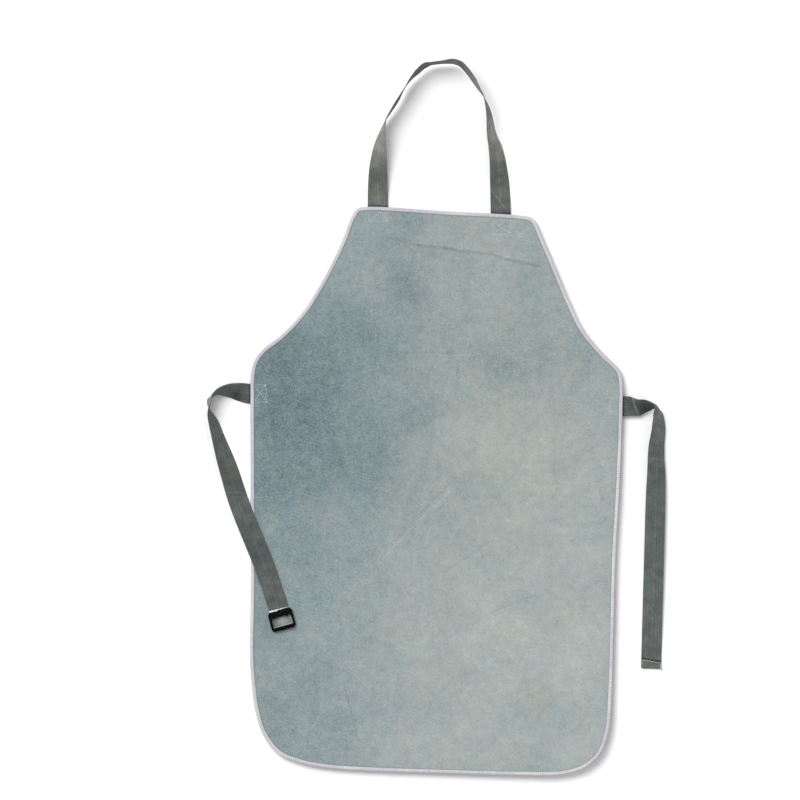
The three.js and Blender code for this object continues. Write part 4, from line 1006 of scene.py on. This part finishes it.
def webbingFinish():
    f = Finish("webbing", Roughness=0.85, Sheen_Weight=0.15, Specular_IOR_Level=0.25)
    place = f.place()
    across, along, _ = f.split(f.uv())
    pi2 = 2 * math.pi
    slant = ((across * (1 / 0.64)).steps() - 0.5).size()
    twill = ((along * (pi2 / 0.21)) + slant * (pi2 * 2.2)).wave()
    cords = (across * (pi2 / 0.105)).wave()
    weft = (along * (pi2 / 0.12)).wave()
    fuzz = f.noise(place, 1100, 3.0, 0.7)
    shade = f.noise(place, 60, 4.0, 0.6)
    streaks = f.noise(f.stretched(f.uv(), (7.0, 0.35, 1.0)), 4.0, 3.0, 0.6)
    middle = across.size().smooth(0.0, 0.09, 1.0, 0.0)
    bands = (across * (pi2 / 0.46)).wave()
    picks = f.noise(f.stretched(f.uv(), (0.7, 8.0, 1.0)), 5.0, 3.0, 0.65)  # uneven rows across the weave
    value = 0.4 + twill * 0.09 + cords * 0.04 + bands * (streaks * 0.065)
    value = value + (fuzz - 0.5) * 0.7 + (shade - 0.5) * 0.5
    # the attribute holds wear and painted light and shade
    value = value + (streaks - 0.5) * 0.42 + (picks - 0.5) * 0.42 + middle * 0.12 + f.attribute("wear")
    color = f.ramp(value, [(0.0, paint(30, 36, 38)), (0.5, paint(91, 98, 95)), (1.0, paint(166, 166, 160))])
    # painted shadow under the binding, with a dark thread line, at the roots
    color = f.mix(f.attribute("seam"), color, paint(46, 32, 38))  # the dark line at the roots
    color = f.mix(streaks.smooth(0.45, 0.7) * 0.5, color, (0.94, 1.0, 1.03, 1), "MULTIPLY")
    olive = f.noise(place, 24, 2.0, 0.5).smooth(0.47, 0.62)
    neckOnly = f.split(place)[1].smooth(0.25, 0.3, 0.0, 0.6)  # the neck's webbing is warmer
    color = f.mix(olive * 0.7, color, (1.05, 1.0, 0.94, 1), "MULTIPLY")
    color = f.mix(neckOnly, color, (1.06, 1.0, 0.96, 1), "MULTIPLY")
    height = twill * 0.35 + cords * 0.3 + weft * 0.2 + fuzz * 0.8
    return f.finish(color, fuzz.smooth(0.2, 0.8, 0.75, 0.95), f.bump(height, 0.22 * mm))


webbingMaterial = webbingFinish()
for piece in (neckStrap, leftTie, rightTie, hemPiece):
    piece.data.materials.append(webbingMaterial)


# Buckle: the window's lower edge is at local y 0, the tie comes in from +y
def boolean(piece, tool, operation="DIFFERENCE"):
    applyModifier(piece, "BOOLEAN", operation=operation, object=tool, solver="EXACT")
    bpy.data.objects.remove(tool)


def cut(piece, size, centre, sides=4):
    # a hole through the piece: a box, or a prism where sides are given
    if sides == 4:
        tool = primitive(bpy.ops.mesh.primitive_cube_add, size=1)
    else:
        tool = primitive(bpy.ops.mesh.primitive_cylinder_add, vertices=sides, radius=0.5, depth=1)
    tool.scale = size
    tool.location = centre
    bake()
    boolean(piece, tool)


def roundEdges(piece, width, segments):
    applyModifier(piece, "BEVEL", width=width, segments=segments, limit_method="ANGLE",
                  angle_limit=math.radians(40))


def selectEdges(piece, test):
    # edit mode, with only the edges that pass the test selected
    pick(piece)
    bpy.ops.object.mode_set(mode="EDIT")
    bpy.ops.mesh.select_mode(type="EDGE")
    bpy.ops.mesh.select_all(action="DESELECT")
    bpy.ops.object.mode_set(mode="OBJECT")
    for e in piece.data.edges:
        a, b = (piece.data.vertices[k].co for k in e.vertices)
        e.select = test(a, b)
    bpy.ops.object.mode_set(mode="EDIT")


def makeBuckle():
    b = buckle
    inner = webbing["width"] + 2 * b["play"]
    width = inner + 2 * b["side"]
    top = b["window"] + b["bar"]
    piece = primitive(bpy.ops.mesh.primitive_cube_add, size=1,
                      location=(0, (top - b["foot"]) / 2, b["height"] / 2),
                      scale=(width, top + b["foot"], b["height"]))
    piece.name = piece.data.name = "buckle_body"
    selectEdges(piece, lambda a, c: abs(a.z - c.z) > 1)
    bpy.ops.mesh.bevel(offset=b["corner"], segments=7, affect="EDGES")
    bpy.ops.object.mode_set(mode="OBJECT")
    cut(piece, (inner, b["window"], 3 * b["height"]), (0, b["window"] / 2, b["height"] / 2))
    for x in b["notches"]:
        size = (b["notchWidth"] * 1.1, b["notchDepth"] * 1.7, 3 * b["height"])
        cut(piece, size, (x, b["window"] + 0.15, b["height"] / 2), sides=3)
    cut(piece, (inner, top + 10, 2 * b["channel"]), (0, (top + 10) / 2 + 0.02, 0))
    roundEdges(piece, b["edge"], 3)
    addSpur(piece)
    return piece


def addSpur(piece):
    # the moulded spur that stands from the clamping bar into the window, between the notches
    b = buckle
    x, length, wide = b["spur"]
    spur = primitive(bpy.ops.mesh.primitive_cone_add, vertices=4, radius1=wide * 0.7, radius2=wide * 0.3,
                     depth=length + 1.2, rotation=(math.pi / 2, math.pi / 4, 0))
    spur.location = (x, b["window"] + 0.6 - length / 2, b["height"] - 1.4)
    bake()
    roundEdges(spur, 0.25, 2)
    boolean(piece, spur, "UNION")


def makeTeeth():
    # a bent steel strip across the tie, its teeth turned down on to the clamping bar
    b = buckle
    top = b["window"] + b["bar"]
    strip = primitive(bpy.ops.mesh.primitive_cube_add, size=1, location=(0, top + 1.15, 0.45),
                      scale=(32.4, 2.0, 0.9))
    strip.name = strip.data.name = "toothed_strip"
    selectEdges(strip, lambda a, c: a.x > 10 and c.x > 10)
    bpy.ops.transform.resize(value=(1, 0.45, 0.6), center_override=(16.2, top + 2.15, 0))
    bpy.ops.object.mode_set(mode="OBJECT")
    roundEdges(strip, 0.2, 3)
    tooth = primitive(bpy.ops.mesh.primitive_cone_add, vertices=4, radius1=0.95, radius2=0.12, depth=2.6,
                      rotation=(math.pi / 2, 0, 0))
    roundEdges(tooth, 0.12, 1)
    draw = random.Random(5)
    pieces = [strip]
    for k in range(b["teeth"]):
        x = (k + 0.5 - b["teeth"] / 2) * b["toothPitch"]
        copy = tooth.copy()
        copy.data = tooth.data.copy()
        bpy.context.collection.objects.link(copy)
        bent = 1.6 if x < -3 else 0.5 if x < 6 else 0.1  # those at the left stand further out over the bar
        out = 0.35 * bent * draw.uniform(0.6, 1.2)
        copy.location = (x + draw.uniform(-0.3, 0.3), top - out, 0.75 + 0.3 * bent)
        copy.rotation_euler = (math.radians(-10 * bent), 0, math.radians(draw.uniform(-16, 16) * bent))
        copy.scale = (1.1 + 0.45 * bent, 0.5 + 0.35 * bent, 0.75)
        pieces.append(copy)
    bpy.data.objects.remove(tooth)
    pick(strip)
    for part in pieces:
        part.select_set(True)
    bpy.ops.object.join()
    return strip


def setBuckle(piece, node):
    # from its own millimetres to its place on the tie's end
    where = placed((*tieEnd, 0))
    where[2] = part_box(node)[0][2]
    turn = Matrix.Rotation(math.radians(buckleHeading - 270), 4, "Z")
    piece.matrix_world = Matrix.Translation(where) @ turn @ Matrix.Scale(mm, 4)
    pick(piece)
    bake()
    bpy.ops.object.shade_smooth_by_angle(angle=math.radians(35))


def plasticFinish():
    b = buckle
    f = Finish("black plastic", Roughness=0.45, Specular_IOR_Level=0.06)
    place = f.place()
    grain = f.noise(place, 1400, 2.0, 0.6)
    scuffAndHighlightMask = f.noise(f.stretched(place, (1.0, 3.0, 1.0)), 220, 4.0, 0.7)
    # pale bluish scuffs, partly wear and partly painted highlights on the bars
    color = f.mix(scuffAndHighlightMask.smooth(0.58, 0.72), b["plastic"], b["scuffAndHighlight"])
    return f.finish(color, scuffAndHighlightMask.smooth(0.3, 0.8, 0.3, 0.55), f.bump(grain, 0.05 * mm, 0.5))


def steelFinish():
    f = Finish("bright steel", Metallic=1.0)
    place = f.place()
    brushed = f.noise(f.stretched(place, (1.0, 8.0, 1.0)), 500, 3.0, 0.6)
    color = f.mix(brushed, paint(196, 196, 190), paint(240, 240, 234))
    return f.finish(color, brushed.smooth(0.2, 0.8, 0.18, 0.4), f.bump(brushed, 0.03 * mm, 0.5))


buckleBody = makeBuckle()
setBuckle(buckleBody, "buckle_frame")
dress(buckleBody, "black_plastic", "buckle_frame")
buckleBody.data.materials.append(plasticFinish())
buckleTeeth = makeTeeth()
setBuckle(buckleTeeth, "buckle_teeth")
dress(buckleTeeth, "bright_metal", "buckle_teeth")
buckleTeeth.data.materials.append(steelFinish())
print("buckle made:", len(buckleBody.data.polygons), "faces")

# Sewn boxes over the strap ends: lines in mm from each root
sewing = {
    "pitch": 3.0, "thread": 0.34, "seed": 3,
    "color": paint(214, 224, 230), "shade": paint(176, 192, 200),
}
sewnLines = {
    "neckLeft": [((-15.5, -8), (-15.2, -21), (-13, -24.5), (14.5, -23.5), (15.4, -21), (14.8, -8)),
                 ((-13, -22.5), (3, -8.8), (7, -8.4), (14.6, -23))],
    "neckRight": [((-12.5, -9), (-11.6, -34)), ((-10.5, -33), (-1, -18), (6, -9)),
                  ((4, -32.5), (16.5, -30.5), (15.8, -9)), ((-11, -12), (4, -24), (16, -30)),
                  ((-11.5, -33.5), (4, -32.5))],
    "left": [((7, 13.6), (24.6, 14.4), (26, -13.2), (7, -13.8)), ((7, 10.5), (16, 1), (26, -13.2)),
             ((7, -12), (14, 0), (23.5, 12.5))],
    "right": [((-13, 13.4), (-18, 12.4), (-22, 13.6), (-28, 12.6)), ((-20, 8), (-21, -2), (-20, -11))],
}
knots = [("neckLeft", 14.6, -23.2), ("left", 26, -13.4), ("left", 23, 12.6), ("neckRight", 16.3, -30.4)]


def stitchedLine(points, pitch):
    # even steps along a bent line: middle and heading of each
    path = np.array(points, float)
    at = runAlong(path)
    count = max(1, round(at[-1] / pitch))
    middles = (np.arange(count) + 0.5) * at[-1] / count
    found = []
    for s in middles:
        before, after = ([np.interp(s + d, at, path[:, k]) for k in (0, 1)] for d in (-1, 1))
        heading = math.atan2(after[1] - before[1], after[0] - before[0])
        found.append((np.interp(s, at, path[:, 0]), np.interp(s, at, path[:, 1]), heading))
    return found


def onLeather(x, y):
    height, distance = underside(np.array([x]), np.array([y]))
    relief = leatherRelief(np.array([x]), np.array([y]), distance)
    return float(height[0] + apron["leather"] + relief[0])


def makeSewing():
    s = sewing
    draw = random.Random(s["seed"])
    model = threadModel("sewing_model", s["pitch"] * 0.95, s["thread"])
    frames = []
    for end, lines in sewnLines.items():
        root = sewnEnds[end][0]
        for line in lines:
            for x, y, heading in stitchedLine(line, s["pitch"]):
                place = (root[0] + x + draw.uniform(-0.35, 0.35), root[1] + y + draw.uniform(-0.35, 0.35))
                sunk = draw.uniform(0.0, 0.45)  # some stitches are drawn deeper into the nap
                frames.append(((*place, onLeather(*place) + 0.2 - sunk), heading + draw.uniform(-0.2, 0.2)))
    for end, x, y in knots:
        root = sewnEnds[end][0]
        for turn in range(5):
            place = (root[0] + x + draw.uniform(-0.5, 0.5), root[1] + y + draw.uniform(-0.6, 0.6))
            frames.append(((*place, onLeather(*place) + 0.1 + 0.12 * turn), draw.uniform(-0.1, 0.9)))
    return copies("sewn_boxes", model, frames, "binding_tape")


def makeFoldStitches():
    # the row that holds the tie's fold round the lower bar, turning up along its right selvedge
    draw = random.Random(8)
    heading = math.radians(buckleHeading)
    across = np.array([-math.sin(heading), math.cos(heading)])
    model = threadModel("fold_stitch_model", 2.3, 0.5)
    frames = []
    for x, y, turn in stitchedLine([(-15.2, 1.3), (15.0, 1.3), (15.2, 2.0), (15.0, 12.5)], 2.2):
        spot = np.array(tieEnd) + across * x + away * (y + draw.uniform(-0.15, 0.15))
        frames.append(((*spot, foldStitchHeight), heading + math.pi / 2 + turn))
    return copies("fold_stitches", model, frames, "binding_tape")


endPlace = Vector(placed((*tieEnd, 0)))
endHeights = [v.co.z for v in leftTie.data.vertices if (v.co - endPlace).xy.length < 14 * mm]
foldStitchHeight = max(endHeights) / mm + 0.1
sewnBoxes = makeSewing()
sewingThread = threadFinish("sewing thread", sewing["color"], sewing["shade"])
sewnBoxes.data.materials.append(sewingThread)
foldStitches = makeFoldStitches()
foldStitches.data.materials.append(sewingThread)

# Loose thread ends, at the cut edge of the right tie's hem
frays = {"count": 46, "radius": 0.16, "tuft": 0.36, "steps": 7, "sides": 5, "seed": 11}


def frayTube(points, radius, sides):
    rings = []
    for k, point in enumerate(points):
        ahead = points[min(k + 1, len(points) - 1)] - points[max(k - 1, 0)]
        ahead = ahead / np.linalg.norm(ahead)
        aside = np.cross(ahead, [0, 0, 1.0])
        aside = aside / max(np.linalg.norm(aside), 1e-6)
        upward = np.cross(aside, ahead)
        size = radius * (1 - 0.5 * k / len(points))
        rings += [point + (aside * math.cos(a) + upward * math.sin(a)) * size
                  for a in np.arange(sides) * 2 * math.pi / sides]
    faces = tubeFaces(len(points), sides)
    faces.append(tuple(range(sides))[::-1])
    faces.append(tuple(range((len(points) - 1) * sides, len(points) * sides)))
    return rings, faces


def makeFrays():
    f = frays
    draw = random.Random(f["seed"])
    along, aside, end = rightAlong, rightAside, rightEnd
    flapTop = 2 * webbing["thickness"] + hemFold["slit"]
    starts = []
    for _ in range(f["count"]):  # along the flap's cut edge
        share = draw.uniform(-0.49, 0.49)
        reach = mixed(hemFold["right"], hemFold["left"], share + 0.5)
        start = end - along * (reach - 0.5) + aside * share * webbing["width"]
        start = start + np.array([0, 0, flapTop - draw.uniform(0.2, 1.2)])
        way = -along * draw.uniform(0.2, 1.0) + aside * draw.uniform(-1, 1)
        starts.append((start, way, draw.uniform(1.0, 3.2), f["radius"]))
    for _ in range(9):  # a tuft at the right-hand corner of the end
        start = end - along * draw.uniform(1, 7) - aside * webbing["width"] * draw.uniform(0.45, 0.5)
        start = start + np.array([0, 0, flapTop - draw.uniform(0, 0.5)])
        way = along * draw.uniform(0.9, 1.4) - aside * draw.uniform(0.0, 0.35)
        starts.append((start, way, draw.uniform(5.0, 8.5), f["tuft"]))
    corner = end - along * 11.0 + aside * (webbing["width"] / 2 - 2.4) + np.array([0, 0, flapTop])
    starts.append((corner, along, 9.0, f["tuft"]))
    points, faces = [], []
    for start, way, length, radius in starts:
        way = way / np.linalg.norm(way)
        bend = np.array([draw.uniform(-0.5, 0.5), draw.uniform(-0.5, 0.5), draw.uniform(-0.25, 0.1)])
        bend = bend * (0.25 if radius > f["radius"] else 1)
        path = [start + (way * t + bend * t * t) * length for t in np.linspace(0, 1, f["steps"])]
        for p in path:
            p[2] = max(p[2], 0.3)
        rings, tube = frayTube(path, radius, f["sides"])
        faces += [tuple(len(points) + k for k in face) for face in tube]
        points += rings
    return meshPiece("thread_ends", points, faces, "webbing")


threadEnds = makeFrays()
threadEnds.data.materials.append(threadFinish("frayed thread", paint(214, 218, 212), paint(150, 158, 152)))
print("threads made:", len(sewnBoxes.data.polygons) + len(threadEnds.data.polygons), "faces")

# Floor, light and camera
studio = {
    "floorSize": 9.0, "floorColor": paint(250, 250, 250), "skyStrength": 0.65, "sunStrength": 2.3,
    "sunSoftness": 35, "sunHeight": 53, "sunFrom": 128, "lens": 800, "sensor": 36, "frameWidth": 1.28,
    "aim": (-0.058, 0.0277),
}


def makeStudio():
    s = studio
    bpy.ops.object.select_all(action="DESELECT")
    bpy.ops.mesh.primitive_plane_add(size=s["floorSize"], location=(0, 0, -0.4 * mm))
    floor = bpy.context.object
    floor.name = "floor"
    f = Finish("pale floor", Roughness=0.9, Specular_IOR_Level=0.1)
    dust = f.noise(f.place(), 3, 2.0, 0.5)
    floor.data.materials.append(f.finish(f.mix(dust, s["floorColor"], paint(249, 249, 250))))
    world = bpy.data.worlds.new("studio")
    world.use_nodes = True
    world.node_tree.nodes["Background"].inputs["Color"].default_value = (1.0, 0.985, 1.0, 1)
    world.node_tree.nodes["Background"].inputs["Strength"].default_value = s["skyStrength"]
    bpy.context.scene.world = world
    bpy.ops.object.light_add(type="SUN")
    sun = bpy.context.object
    sun.data.energy = s["sunStrength"]
    sun.data.angle = math.radians(s["sunSoftness"])
    around, height = math.radians(s["sunFrom"]), math.radians(s["sunHeight"])
    sun.rotation_euler = (math.pi / 2 - height, 0, around + math.pi / 2)
    camera = bpy.data.objects.new("camera", bpy.data.cameras.new("camera"))
    camera.data.lens = s["lens"]
    camera.data.sensor_width = s["sensor"]
    distance = s["frameWidth"] * s["lens"] / s["sensor"]
    camera.location = (*s["aim"], distance)
    camera.data.clip_end = 50
    bpy.context.collection.objects.link(camera)
    bpy.context.scene.camera = camera
    bpy.context.scene.view_settings.view_transform = "Standard"


makeStudio()
print("studio made")
